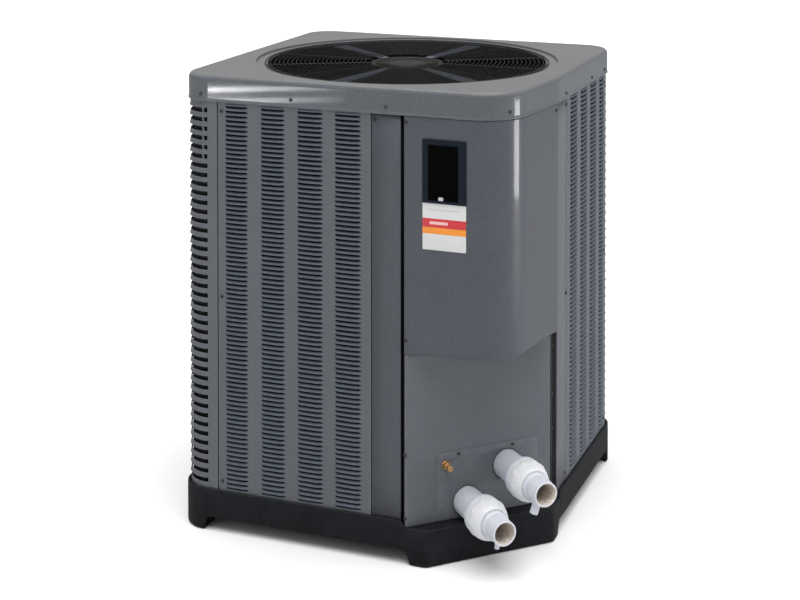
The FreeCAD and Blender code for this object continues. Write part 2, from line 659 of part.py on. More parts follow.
keypad = door_box(-0.2, KEYPAD_Y, -406)
keypad = keypad.cut(box(SCREEN_X0, -412, SCREEN_Z0, SCREEN_X1, SCREEN_BACK_Y, SCREEN_Z1))
for x, z in KEYS.values():
    keypad = keypad.cut(key_box(x, z, 0.3, -420, -400))
save("keypad_body", keypad)
save("lcd_screen", box(SCREEN_X0 + 0.2, KEYPAD_Y, SCREEN_Z0 + 0.2,
                       SCREEN_X1 - 0.2, SCREEN_BACK_Y, SCREEN_Z1 - 0.2))
for name, (x, z) in KEYS.items():
    cap = key_box(x, z, 0, KEY_FRONT_Y, SLEEVE_BACK_Y)
    front_edges = [e for e in cap.Edges if abs(e.BoundBox.YMin - KEY_FRONT_Y) < 1e-6
                   and abs(e.BoundBox.YMax - KEY_FRONT_Y) < 1e-6]
    cap = cap.makeFillet(0.6, front_edges)
    save(name, fuse([cap, key_box(x, z, 1.5, -405.6, SLEEVE_BACK_Y)]))
save("label_plate", box(203.5, CTRL_FRONT_Y - 0.6, 774, 314, CTRL_FRONT_Y, 886.5))


# ---------------------------------------------------------------- air coil
def coil_block(x, y, r, z0, z1):
    return prism([(-x, -y), (x, -y), (x, y), (-x, y)], [r, 0, r, r], z0, z1)


air_coil = coil_block(445, 413, 64, PAN_DECK_Z, 1090)
air_coil = air_coil.cut(coil_block(427, 395, 46, PAN_DECK_Z - 1, 1091))
# open at the control corner
save("evaporator_coil", air_coil.cut(box(60, -500, 0, 500, -35, 1100)))

# ---------------------------------------------------------------- fan, motor and bracket
FAN_TIP_X = 345.0
FAN_Z = 1035.0
HUB_R = 50
MOTOR_R = 72.0
MOTOR_TOP_Z = 1146
SHAFT_R = 6.35

bracket = [cylinder(98, 3, (0, 0, MOTOR_TOP_Z))]
for angle in (142, 80, -100, -40):
    tip = ORIFICE_R - 1.0
    strap = sharp_prism([(80, -11), (tip, -25), (tip, 25), (80, 11)],
                        MOTOR_TOP_Z, MOTOR_TOP_Z + 2)
    # foot that lies against the orifice shroud
    foot = cylinder(ORIFICE_R, 44, (0, 0, 1104))
    foot = foot.cut(cylinder(ORIFICE_R - 1.5, 60, (0, 0, 1100)))
    foot = foot.common(box(300, -25, 1100, 400, 25, 1150))
    for piece in (strap, foot):
        piece.rotate(V(0, 0, 0), UP, angle)
        bracket.append(piece)
save("motor_bracket", fuse(bracket))

motor = revolve([(0, 1066), (60, 1066), (MOTOR_R, 1074), (MOTOR_R, 1140),
                 (66, MOTOR_TOP_Z), (0, MOTOR_TOP_Z)])
save("fan_motor", motor.cut(cylinder(SHAFT_R + 0.05, 30, (0, 0, 1060))))
save("motor_shaft", cylinder(SHAFT_R, 1086 - 1018, (0, 0, 1018)))
save("fan_hub", revolve([(SHAFT_R + 0.01, 1020), (HUB_R, 1020), (HUB_R, 1050),
                         (20, 1050), (20, 1058), (SHAFT_R + 0.01, 1058)]))


def blade_section(x, chord, pitch, sweep):
    """rectangle across the blade at x, tilted by pitch degrees and moved by sweep in y"""
    c, s = math.cos(math.radians(pitch)), math.sin(math.radians(pitch))
    u, w = chord / 2, 2.5 / 2        # half chord, half thickness
    points = [V(x, sweep + a * c - b * s, FAN_Z + a * s + b * c)
              for a, b in ((-u, -w), (u, -w), (u, w), (-u, w))]
    return Part.makePolygon(points + points[:1])


blades = []
for k in range(5):
    blade = Part.makeLoft([blade_section(46, 62, 30, 0), blade_section(200, 130, 22, 10),
                           blade_section(FAN_TIP_X, 150, 16, 0)], True, True)
    blade.rotate(V(0, 0, 0), UP, 72 * k + 20)
    blades.append(largest(blade.cut(cylinder(HUB_R, 60, (0, 0, 1005)))))
save("fan_blades", *blades)

# ---------------------------------------------------------------- compressor
COMP_X, COMP_Y = -60.0, 80.0
COMP_FEET = [(COMP_X + dx, COMP_Y + dy) for dx in (-88, 88) for dy in (-88, 88)]

compressor = fuse([
    revolve([(0, 110), (70, 104), (90, 120), (90, 400), (70, 424), (30, 432), (0, 434)],
            V(COMP_X, COMP_Y, 0)),
    prism([(COMP_X + dx, COMP_Y + dy)
           for dx, dy in ((-105, -105), (105, -105), (105, 105), (-105, 105))],
          [25] * 4, 101, 106),                       # base plate
    cylinder(14, 50, (-20, 40, 390)),                # terminal
])
foot_grommets, bolts = [], []
for x, y in COMP_FEET:
    compressor = compressor.cut(cylinder(8.0, 20, (x, y, 95)))
    foot_grommets.append(revolve([
        (4.3, PAN_DECK_Z), (17, PAN_DECK_Z), (15, 101), (7.9, 101),
        (7.9, 106), (14, 106), (14, 110), (4.3, 110),
    ], V(x, y, 0)))
    bolt_head = hexagon(8, 112, 118)
    bolt_head.translate(V(x, y, 0))
    bolts.append(fuse([bolt_head, cylinder(11, 2, (x, y, 110)), cylinder(4.0, 23, (x, y, 87.5))]))
save("compressor", compressor)
save("compressor_grommets", *foot_grommets)
save("compressor_bolts", *bolts)

# ---------------------------------------------------------------- refrigerant circuit
accumulator = revolve([(0, PAN_DECK_Z), (30, PAN_DECK_Z), (30, 95), (50, 98), (55, 110),
                       (55, 340), (45, 356), (0, 360)], V(-230, 60, 0))
save("accumulator", accumulator)
# the short link fills the gap between the accumulator and the compressor
link = cylinder(10, 60, (-190, 70, 200), ALONG_X).cut(accumulator).cut(compressor)
link = [s for s in link.Solids if -176 < s.CenterOfMass.x < -149][0]
save("suction_line", rod([(-427, 60, 700), (-230, 60, 700), (-230, 60, 360)], 11, 40), link)
save("discharge_line", rod([(COMP_X, COMP_Y, 434), (COMP_X, COMP_Y, 620), (130, COMP_Y, 620),
                            (130, -50, 620), (130, -50, 562)], 8, 28))

EX, EY = EXCHANGER.x, EXCHANGER.y
shell_h = 560 - PAN_DECK_Z
shell = cylinder(EXCHANGER_R, shell_h, (EX, EY, PAN_DECK_Z))
shell = shell.cut(cylinder(EXCHANGER_R - 5, shell_h - 12, (EX, EY, PAN_DECK_Z + 6)))
for port in PORTS.values():
    shell = shell.cut(cylinder(BORE_R, 140, axis_point(port, -240), OUT))
band = cylinder(EXCHANGER_R + 6, 10, (EX, EY, 544))
band = band.cut(cylinder(EXCHANGER_R, 30, (EX, EY, 530)))
save("heat_exchanger_shell", fuse([shell, band, cylinder(30, 6, (EX, EY, 556))]))

COIL_R, COIL_PITCH, COIL_TURNS = 72, 26, 7
helix = Part.makeHelix(COIL_PITCH, COIL_PITCH * COIL_TURNS, COIL_R)
tube_section = Part.Wire(Part.Circle(V(COIL_R, 0, 0), ALONG_Y, 8).toShape())
coil = Part.Wire(helix.Edges).makePipeShell([tube_section], True, True)
coil.translate(V(EX, EY, 300))
save("heat_exchanger_coil", coil)

save("filter_drier", revolve([(0, 70), (9, 70), (22, 82), (22, 178), (9, 190), (0, 190)],
                             V(130, 0, 140), ALONG_Y))
save("expansion_valve", fuse([box(114, 240, 124, 146, 280, 156),
                              cylinder(18, 22, (130, 260, 156)),
                              cylinder(24, 10, (130, 260, 178))]))
save("liquid_line",
     cylinder(5, 45, (130, 25, 140), ALONG_Y).cut(exchanger_core()),
     cylinder(5, 50, (130, 190, 140), ALONG_Y),
     rod([(130, 280, 140), (130, 318, 140), (130, 318, 300), (130, 395, 300)], 5, 14))
pressure_switch = fuse([cylinder(17, 28, (EX + EXCHANGER_R + 14, EY, 420), ALONG_X),
                        cylinder(6, 16, (EX + EXCHANGER_R - 1, EY, 420), ALONG_X)])
save("water_pressure_switch", pressure_switch.cut(exchanger_core()))

# ---------------------------------------------------------------- electrical parts
# open-fronted box behind the control cover, with a hole for the harness
control_box = box(180, -385, 560, 380, -290, 1000).cut(box(182, -386, 562, 378, -292, 998))
save("control_box", control_box.cut(cylinder(10, 20, (170, -330, 730), ALONG_X)))
save("contactor_body", fuse([box(300, -320, 600, 360, -292, 670),
                             box(300, -362, 600, 306, -320, 670),
                             box(354, -362, 600, 360, -320, 670)]))
save("contactor_armature", fuse([box(306.3, -360, 604, 353.7, -338, 666),
                                 box(322, -364, 620, 338, -360, 650)]))
save("run_capacitor", fuse([cylinder(25, 98, (225, -318, 562)),
                            cylinder(3, 8, (217, -318, 660)),
                            cylinder(3, 8, (233, -318, 660))]))
save("transformer", fuse([box(300, -340, 760, 360, -292, 812),
                          box(312, -346, 768, 348, -340, 804)]))

BOARD_Y = -300           # front face of the board
BOARD_BLOCKS = [         # x, z, width, height, depth
    (220, 870, 30, 40, 14), (260, 870, 22, 18, 10), (300, 860, 40, 16, 12),
    (230, 930, 24, 24, 5), (300, 920, 18, 34, 20),
]
board = [box(200, BOARD_Y, 840, 360, BOARD_Y + 2, 980)]
board += [cylinder(3, 6, (x, BOARD_Y + 2, z), ALONG_Y) for x in (206, 354) for z in (846, 974)]
for x, z, width, height, depth in BOARD_BLOCKS:
    board.append(box(x, BOARD_Y - depth, z, x + width, BOARD_Y, z + height))
save("control_board", fuse(board))

save("wiring_harness", rod([
    (225, -330, 838), (225, -330, 730), (150, -330, 730), (150, -330, 650),
    (-20, -330, 650), (-20, 40, 650), (-20, 40, 440),
], 6, 18))
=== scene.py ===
import bpy, bmesh, math, random
from mathutils import Vector, Matrix


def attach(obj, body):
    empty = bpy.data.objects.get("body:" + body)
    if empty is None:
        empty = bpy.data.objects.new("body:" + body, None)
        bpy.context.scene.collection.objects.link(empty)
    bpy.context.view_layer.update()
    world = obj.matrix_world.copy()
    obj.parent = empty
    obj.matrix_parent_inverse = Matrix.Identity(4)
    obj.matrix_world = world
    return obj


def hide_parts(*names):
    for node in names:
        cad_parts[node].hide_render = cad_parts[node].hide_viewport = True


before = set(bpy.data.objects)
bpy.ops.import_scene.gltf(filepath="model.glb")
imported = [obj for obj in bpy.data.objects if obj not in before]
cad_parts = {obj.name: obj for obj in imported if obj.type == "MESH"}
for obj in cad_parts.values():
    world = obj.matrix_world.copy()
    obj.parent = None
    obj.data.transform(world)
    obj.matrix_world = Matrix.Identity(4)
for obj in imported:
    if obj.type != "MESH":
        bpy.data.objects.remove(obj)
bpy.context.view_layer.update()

random.seed(7)
MM = 0.001
OX, OY = -28.951, 22.923      # cabinet centre in the row frame
HW, HD = 455.0, 423.0
scene = bpy.context.scene
scene.view_settings.view_transform = 'Standard'
scene.view_settings.look = 'None'
R2 = math.sqrt(0.5)


# =====================================================================  materials
def node(nt, kind, **kw):
    n = nt.nodes.new(kind)
    for k, v in kw.items():
        setattr(n, k, v)
    return n


def setin(n, name, v):
    n.inputs[name].default_value = v


def ramp(nt, fac, stops):
    r = node(nt, 'ShaderNodeValToRGB')
    els = r.color_ramp.elements
    while len(els) < len(stops):
        els.new(0.5)
    for e, (p, c) in zip(els, stops):
        e.position = p
        e.color = (c, c, c, 1) if not isinstance(c, tuple) else (c + (1,))[:4]
    nt.links.new(fac, r.inputs['Fac'])
    return r.outputs['Color']


def mix(nt, fac, a, b, mode='MIX'):
    m = node(nt, 'ShaderNodeMix', data_type='RGBA', blend_type=mode)
    for sock, v in ((m.inputs['Factor'], fac), (m.inputs['A'], a), (m.inputs['B'], b)):
        if hasattr(v, 'links') or hasattr(v, 'is_linked'):
            nt.links.new(v, sock)
        elif isinstance(v, (int, float)):
            sock.default_value = v
        else:
            sock.default_value = (tuple(v) + (1,))[:4]
    return m.outputs['Result']


def mathn(nt, op, a, b=0.0, c=None):
    m = node(nt, 'ShaderNodeMath', operation=op)
    for i, v in enumerate((a, b) if c is None else (a, b, c)):
        if hasattr(v, 'is_linked'):
            nt.links.new(v, m.inputs[i])
        else:
            m.inputs[i].default_value = v
    return m.outputs[0]


def noise(nt, vec, scale, detail=3.0, rough=0.55):
    n = node(nt, 'ShaderNodeTexNoise')
    nt.links.new(vec, n.inputs['Vector'])
    setin(n, 'Scale', scale)
    setin(n, 'Detail', detail)
    setin(n, 'Roughness', rough)
    return n.outputs['Fac']


def surface(name, base, rough=0.45, metallic=0.0, speck=0.15, speck_scale=900.0, cloud=0.10, cloud_scale=5.0,
            bump=0.12, bump_scale=700.0, wear=0.25, wear_col=None, dust=0.10, coat=0.0, spec=0.5, rough_var=0.10,
            stretch=None, alpha=None, transmission=0.0, ior=1.5, bump_dist=0.0004, coat_rough=0.25, dust_lo=0.2):
    """a finish with speckle, slow colour variation, bare or rubbed edges, settled dust, and matching roughness and bump"""
    m = bpy.data.materials.new(name)
    m.use_nodes = True
    nt = m.node_tree
    bsdf = nt.nodes['Principled BSDF']
    tc = node(nt, 'ShaderNodeTexCoord')
    vec = tc.outputs['Object']
    if stretch:
        mp = node(nt, 'ShaderNodeMapping')
        mp.inputs['Scale'].default_value = stretch
        nt.links.new(vec, mp.inputs['Vector'])
        fine_vec = mp.outputs['Vector']
    else:
        fine_vec = vec
    light = tuple(min(1.0, c * (1 + speck * 2.2) + speck * 0.03) for c in base)
    dark = tuple(c * (1 - speck) for c in base)
    n1 = noise(nt, fine_vec, speck_scale, 2.0, 0.6)
    col = mix(nt, ramp(nt, n1, [(0.40, 0.0), (0.62, 1.0)]), dark, light)
    col = mix(nt, 0.5, col, base)
    n2 = noise(nt, vec, cloud_scale, 4.0, 0.6)
    col = mix(nt, ramp(nt, n2, [(0.30, 0.0), (0.70, 1.0)]), mix(nt, 1.0, col, tuple([1 - cloud] * 3), 'MULTIPLY'), mix(nt, 1.0, col, tuple([1 + cloud * 0.6] * 3), 'MULTIPLY'))
    geo = node(nt, 'ShaderNodeNewGeometry')
    edge = ramp(nt, geo.outputs['Pointiness'], [(0.515, 0.0), (0.56, 1.0)])
    n3 = noise(nt, vec, 55.0, 5.0, 0.7)
    edge = mathn(nt, 'MULTIPLY', edge, ramp(nt, n3, [(0.42, 0.15), (0.6, 1.0)]))
    edge = mathn(nt, 'MULTIPLY', edge, wear)
    wc = wear_col or tuple(min(1, c * 1.8 + 0.05) for c in base)
    col = mix(nt, edge, col, wc)
    # dust: settles on faces that look up, and low on the sides
    sx = node(nt, 'ShaderNodeSeparateXYZ')
    nt.links.new(geo.outputs['Normal'], sx.inputs[0])
    up = ramp(nt, sx.outputs['Z'], [(0.25, 0.0), (0.95, 1.0)])
    pz = node(nt, 'ShaderNodeSeparateXYZ')
    nt.links.new(vec, pz.inputs[0])
    low = ramp(nt, pz.outputs['Z'], [(0.0, 1.0), (0.22, 0.0)])
    n4 = noise(nt, vec, 18.0, 6.0, 0.65)
    d = mathn(nt, 'ADD', mathn(nt, 'MULTIPLY', up, 0.7), mathn(nt, 'MULTIPLY', low, 0.5))
    d = mathn(nt, 'MULTIPLY', d, ramp(nt, n4, [(0.35, dust_lo), (0.7, 1.0)]))
    d = mathn(nt, 'MULTIPLY', d, dust)
    col = mix(nt, d, col, (0.30, 0.285, 0.26))
    nt.links.new(col, bsdf.inputs['Base Color'])
    rr = mathn(nt, 'MULTIPLY_ADD', n2, rough_var, rough - rough_var * 0.5)
    rr = mathn(nt, 'ADD', rr, mathn(nt, 'MULTIPLY', mathn(nt, 'ADD', edge, d), 0.35))
    rr = mathn(nt, 'ADD', rr, mathn(nt, 'MULTIPLY', mathn(nt, 'SUBTRACT', n1, 0.5), 0.12))
    nt.links.new(rr, bsdf.inputs['Roughness'])
    nb = noise(nt, fine_vec, bump_scale, 2.0, 0.5)
    bp = node(nt, 'ShaderNodeBump')
    setin(bp, 'Strength', bump)
    setin(bp, 'Distance', bump_dist)
    nt.links.new(nb, bp.inputs['Height'])
    bp2 = node(nt, 'ShaderNodeBump')
    setin(bp2, 'Strength', bump * 0.5)
    setin(bp2, 'Distance', 0.0015)
    nt.links.new(n3, bp2.inputs['Height'])
    nt.links.new(bp.outputs['Normal'], bp2.inputs['Normal'])
    nt.links.new(bp2.outputs['Normal'], bsdf.inputs['Normal'])
    setin(bsdf, 'Metallic', metallic)
    setin(bsdf, 'Specular IOR Level', spec)
    setin(bsdf, 'Coat Weight', coat)
    setin(bsdf, 'Coat Roughness', coat_rough)
    setin(bsdf, 'IOR', ior)
    if transmission:
        setin(bsdf, 'Transmission Weight', transmission)
    if alpha is not None:
        setin(bsdf, 'Alpha', alpha)
    return m


PAINT = (0.091, 0.097, 0.111)
M = {}
M['paint'] = surface('cabinet_paint', PAINT, rough=0.40, speck=0.24, speck_scale=650, bump=0.16, bump_scale=520, cloud=0.05, wear=0.30, dust=0.10, coat=0.05, spec=0.28, rough_var=0.05)
M['post'] = surface('post_paint', (0.066, 0.071, 0.084), rough=0.40, speck=0.24, speck_scale=650, bump=0.12, bump_scale=520, cloud=0.04, wear=0.04, dust=0.05, coat=0.05, spec=0.22, rough_var=0.03)
# The recessed returns of the posts beside the control cover are painted shade: dark grey on the right, near-black on
# the left.
M['recess2'] = surface('recess_painted_shade_grey', (0.024, 0.024, 0.026), rough=0.5, speck=0.2, speck_scale=600, bump=0.2, cloud=0.1, wear=0.2, dust=0.04, spec=0.15)
M['recess'] = surface('recess_painted_shade_black', (0.004, 0.004, 0.005), rough=0.6, speck=0.2, speck_scale=600, bump=0.2, cloud=0.2, wear=0.15, dust=0.02, spec=0.1)
M['cover'] = surface('cover_paint', (0.088, 0.095, 0.107), rough=0.36, speck=0.24, speck_scale=650, bump=0.16, bump_scale=520, cloud=0.06, wear=0.30, dust=0.44, coat=0.30, coat_rough=0.035, spec=0.12, dust_lo=0.82)
M['ctrl'] = surface('control_cover_paint', (0.067, 0.072, 0.086), rough=0.34, speck=0.24, speck_scale=650, bump=0.12, bump_scale=520, cloud=0.06, wear=0.25, dust=0.10, coat=0.25, coat_rough=0.06, spec=0.14)
M['louvre'] = surface('louvre_paint', (0.090, 0.096, 0.110), rough=0.40, speck=0.22, speck_scale=650, bump=0.12, bump_scale=520, cloud=0.06, wear=0.35, dust=0.14, coat=0.04, spec=0.28)
M['pan'] = surface('pan_plastic', (0.0056, 0.0066, 0.0090), spec=0.12, rough=0.52, speck=0.25, speck_scale=420, bump=0.45, bump_scale=380, cloud=0.20, cloud_scale=9, wear=0.35, wear_col=(0.035, 0.036, 0.04), dust=0.035, bump_dist=0.0006)
# shroud: near-black painted shade for the deep fan orifice's inner wall
M['shroud'] = surface('shroud_painted_shade', (0.004, 0.0045, 0.0055), rough=0.55, speck=0.2, bump=0.15, cloud=0.15, wear=0.2, dust=0.02, spec=0.08)
M['wire'] = surface('guard_wire', (0.006, 0.006, 0.0065), rough=0.30, speck=0.2, speck_scale=500, bump=0.15, cloud=0.15, wear=0.15, wear_col=(0.05, 0.05, 0.05), dust=0.02, spec=0.4)
M['disc'] = surface('bracket_disc', (0.0065, 0.006, 0.006), rough=0.45, speck=0.2, bump=0.15, cloud=0.2, wear=0.3, dust=0.06, spec=0.15)
M['strap'] = surface('strap_steel', (0.060, 0.074, 0.100), rough=0.40, speck=0.2, speck_scale=450, bump=0.15, cloud=0.12, wear=0.4, dust=0.06, metallic=0.1)
M['pvc'] = surface('white_pipe', (0.52, 0.54, 0.595), rough=0.36, speck=0.03, speck_scale=300, bump=0.10, bump_scale=260, cloud=0.04, wear=0.10, wear_col=(0.8, 0.8, 0.8), dust=0.10, spec=0.5, rough_var=0.12)
M['pvc2'] = surface('white_fitting', (0.60, 0.61, 0.635), rough=0.42, speck=0.06, speck_scale=260, bump=0.18, bump_scale=240, cloud=0.06, wear=0.10, wear_col=(0.82, 0.82, 0.8), dust=0.16)
M['bore'] = surface('pipe_bore', (0.62, 0.55, 0.50), rough=0.6, speck=0.30, speck_scale=240, bump=0.35, bump_scale=160, cloud=0.25, cloud_scale=30, wear=0.1, dust=0.2)
M['rubber'] = surface('seal_rubber', (0.05, 0.05, 0.052), rough=0.75, speck=0.2, speck_scale=700, bump=0.3, wear=0.1, dust=0.25)
M['brass'] = surface('turned_brass', (0.62, 0.36, 0.15), rough=0.30, metallic=1.0, speck=0.08, speck_scale=900, bump=0.08, cloud=0.18, cloud_scale=60, wear=0.3, wear_col=(0.85, 0.62, 0.32), dust=0.08)
M['bezel'] = surface('bezel_plastic', (0.0035, 0.0085, 0.017), spec=0.16, rough=0.42, speck=0.10, speck_scale=600, bump=0.06, cloud=0.10, wear=0.2, wear_col=(0.03, 0.05, 0.07), dust=0.02, coat=0.0)
M['keypad'] = surface('keypad_plastic', (0.012, 0.013, 0.015), rough=0.5, speck=0.2, speck_scale=700, bump=0.2, cloud=0.1, wear=0.15, dust=0.04)
M['key'] = surface('key_cap', (0.20, 0.205, 0.215), rough=0.5, speck=0.12, speck_scale=900, bump=0.18, cloud=0.08, wear=0.3, dust=0.05)
M['glyph'] = surface('key_mark', (0.60, 0.60, 0.58), rough=0.5, speck=0.05, bump=0.05, wear=0.1, dust=0.03)
M['screw'] = surface('black_screw', (0.016, 0.016, 0.018), rough=0.34, metallic=0.4, speck=0.15, bump=0.1, wear=0.5, wear_col=(0.2, 0.2, 0.2), dust=0.10)
M['copper'] = surface('copper_tube', (0.62, 0.27, 0.16), rough=0.34, metallic=1.0, speck=0.08, bump=0.08, cloud=0.25, cloud_scale=25, wear=0.2, dust=0.08)
M['titan'] = surface('titanium_tube', (0.36, 0.35, 0.34), rough=0.35, metallic=1.0, speck=0.05, bump=0.08, cloud=0.15, cloud_scale=30, wear=0.1, dust=0.0)
M['black_enamel'] = surface('black_enamel', (0.014, 0.014, 0.016), rough=0.34, speck=0.12, bump=0.12, cloud=0.12, wear=0.4, wear_col=(0.12, 0.11, 0.10), dust=0.15, coat=0.2)
M['motor'] = surface('motor_enamel', (0.014, 0.015, 0.017), rough=0.36, speck=0.15, bump=0.12, cloud=0.12, wear=0.4, wear_col=(0.18, 0.18, 0.18), dust=0.12)
M['steel'] = surface('ground_steel', (0.42, 0.42, 0.43), rough=0.28, metallic=1.0, speck=0.06, bump=0.06, cloud=0.12, wear=0.2, dust=0.10, stretch=(1, 1, 14))
# fan blades: the near-black colour is painted shade of the deep orifice, not the blades' own finish
M['blade'] = surface('blade_painted_shade_black', (0.0075, 0.008, 0.010), rough=0.46, metallic=0.0, speck=0.15, speck_scale=400, bump=0.14, cloud=0.20, cloud_scale=12, wear=0.4, wear_col=(0.10, 0.10, 0.11), dust=0.03, spec=0.15)
M['zinc'] = surface('zinc_sheet', (0.45, 0.45, 0.43), rough=0.38, metallic=0.9, speck=0.10, speck_scale=160, bump=0.06, cloud=0.18, cloud_scale=30, wear=0.2, dust=0.06)
M['shell'] = surface('exchanger_shell', (0.045, 0.046, 0.050), rough=0.5, speck=0.15, speck_scale=300, bump=0.3, cloud=0.12, wear=0.2, dust=0.10)
M['board'] = surface('circuit_board', (0.012, 0.09, 0.035), rough=0.4, speck=0.25, speck_scale=420, bump=0.25, bump_scale=300, cloud=0.25, cloud_scale=60, wear=0.1, dust=0.04)
M['phenolic'] = surface('phenolic', (0.030, 0.028, 0.026), rough=0.42, speck=0.2, speck_scale=500, bump=0.15, cloud=0.1, wear=0.3, dust=0.05)
M['can'] = surface('capacitor_can', (0.5, 0.5, 0.5), rough=0.3, metallic=1.0, speck=0.05, bump=0.05, cloud=0.1, wear=0.2, dust=0.03)
M['loom'] = surface('wire_loom', (0.022, 0.022, 0.022), rough=0.6, speck=0.2, bump=0.6, bump_scale=240, cloud=0.1, wear=0.1, dust=0.08)


# Formed louvre blades made darker and bluer through the 'form' attribute: part grime, part painted shade on the bowed
# blades.
def blade_grime_and_shade_tint(m, tint):
    nt = m.node_tree
    bsdf = nt.nodes['Principled BSDF']
    base = bsdf.inputs['Base Color'].links[0].from_socket
    at = node(nt, 'ShaderNodeAttribute', attribute_name='form')
    c = mix(nt, ramp(nt, at.outputs['Fac'], [(0.05, 0.0), (0.75, 1.0)]), base, mix(nt, 1.0, base, tint, 'MULTIPLY'))
    nt.links.new(c, bsdf.inputs['Base Color'])


# louvre blades: darker, bluer tint standing for grime and painted shade
blade_grime_and_shade_tint(M['louvre'], (0.70, 0.79, 0.90))


def label_material():
    m = surface('label_stock', (0.56, 0.56, 0.56), rough=0.45, speck=0.02, bump=0.04, cloud=0.03, wear=0.05, dust=0.03)
    nt = m.node_tree
    bsdf = nt.nodes['Principled BSDF']
    base = bsdf.inputs['Base Color'].links[0].from_socket
    tc = node(nt, 'ShaderNodeTexCoord')
    sx = node(nt, 'ShaderNodeSeparateXYZ')
    nt.links.new(tc.outputs['Object'], sx.inputs[0])
    n = noise(nt, tc.outputs['Object'], 220.0, 2.0)
    z = mathn(nt, 'ADD', sx.outputs['Z'], mathn(nt, 'MULTIPLY', mathn(nt, 'SUBTRACT', n, 0.5), 0.0008))
    x = sx.outputs['X']

    def band(z0, z1, x0=0.0, x1=1.0):
        a = mathn(nt, 'MULTIPLY', mathn(nt, 'GREATER_THAN', z, z0), mathn(nt, 'LESS_THAN', z, z1))
        b = mathn(nt, 'MULTIPLY', mathn(nt, 'GREATER_THAN', x, x0), mathn(nt, 'LESS_THAN', x, x1))
        return mathn(nt, 'MULTIPLY', a, b)
    c = mix(nt, band(0.8285, 0.8500), base, (0.52, 0.028, 0.036))
    c = mix(nt, band(0.8360, 0.8430, 0.222 + OX * MM, 0.268 + OX * MM), c, (0.75, 0.42, 0.42))
    c = mix(nt, band(0.8130, 0.8285), c, (0.74, 0.25, 0.022))
    c = mix(nt, band(0.8700, 0.8725, 0.218 + OX * MM, 0.298 + OX * MM), c, (0.42, 0.43, 0.42))
    nt.links.new(c, bsdf.inputs['Base Color'])
    return m


M['label'] = label_material()


def door_material():
    m = surface('smoked_cover', (0.0010, 0.0011, 0.0015), rough=0.30, spec=0.06, speck=0.0, bump=0.01, cloud=0.05, wear=0.05, dust=0.01, rough_var=0.05, coat=0.0)
    nt = m.node_tree
    bsdf = nt.nodes['Principled BSDF']
    out = nt.nodes['Material Output']
    tr = node(nt, 'ShaderNodeBsdfTransparent')
    tr.inputs['Color'].default_value = (0.10, 0.11, 0.12, 1)
    ms = node(nt, 'ShaderNodeMixShader')
    ms.inputs[0].default_value = 0.62
    nt.links.new(tr.outputs[0], ms.inputs[1])
    nt.links.new(bsdf.outputs[0], ms.inputs[2])
    nt.links.new(ms.outputs[0], out.inputs['Surface'])
    return m


M['door'] = door_material()


def screen_material():
    m = surface('display_glass', (0.030, 0.045, 0.035), rough=0.12, speck=0.02, bump=0.01, cloud=0.05, wear=0.05, dust=0.02, coat=0.5)
    nt = m.node_tree
    bsdf = nt.nodes['Principled BSDF']
    base = bsdf.inputs['Base Color'].links[0].from_socket
    tc = node(nt, 'ShaderNodeTexCoord')
    mp = node(nt, 'ShaderNodeMapping')
    mp.inputs['Scale'].default_value = (900, 900, 900)
    nt.links.new(tc.outputs['Object'], mp.inputs['Vector'])
    ck = node(nt, 'ShaderNodeTexChecker')
    setin(ck, 'Scale', 1.0)
    nt.links.new(mp.outputs['Vector'], ck.inputs['Vector'])
    c = mix(nt, mathn(nt, 'MULTIPLY', ck.outputs['Fac'], 0.25), base, (0.05, 0.075, 0.055))
    nt.links.new(c, bsdf.inputs['Base Color'])
    return m


M['screen'] = screen_material()


def fin_material():
    """closely spaced vertical fins on the air coil"""
    # the dark base tone and the darker stripes between fins are painted shade inside the coil and in the fin gaps
    m = surface('coil_fins', (0.022, 0.024, 0.028), rough=0.42, metallic=0.3, speck=0.1, bump=0.1, cloud=0.18, cloud_scale=8, wear=0.1, dust=0.06)
    nt = m.node_tree
    bsdf = nt.nodes['Principled BSDF']
    tc = node(nt, 'ShaderNodeTexCoord')
    sx = node(nt, 'ShaderNodeSeparateXYZ')
    nt.links.new(tc.outputs['Object'], sx.inputs[0])
    geo = node(nt, 'ShaderNodeNewGeometry')
    sn = node(nt, 'ShaderNodeSeparateXYZ')
    nt.links.new(geo.outputs['Normal'], sn.inputs[0])
    along = mathn(nt, 'ADD', mathn(nt, 'MULTIPLY', sx.outputs['X'], mathn(nt, 'ABSOLUTE', sn.outputs['Y'])), mathn(nt, 'MULTIPLY', sx.outputs['Y'], mathn(nt, 'ABSOLUTE', sn.outputs['X'])))
    w = mathn(nt, 'SINE', mathn(nt, 'MULTIPLY', along, 2 * math.pi / 0.0032))
    bp = node(nt, 'ShaderNodeBump')
    setin(bp, 'Strength', 0.9)
    setin(bp, 'Distance', 0.001)
    nt.links.new(w, bp.inputs['Height'])
    nt.links.new(bp.outputs['Normal'], bsdf.inputs['Normal'])
    base = bsdf.inputs['Base Color'].links[0].from_socket
    c = mix(nt, mathn(nt, 'MULTIPLY_ADD', w, 0.4, 0.4), base, (0.010, 0.010, 0.011))
    nt.links.new(c, bsdf.inputs['Base Color'])
    return m


M['fins'] = fin_material()


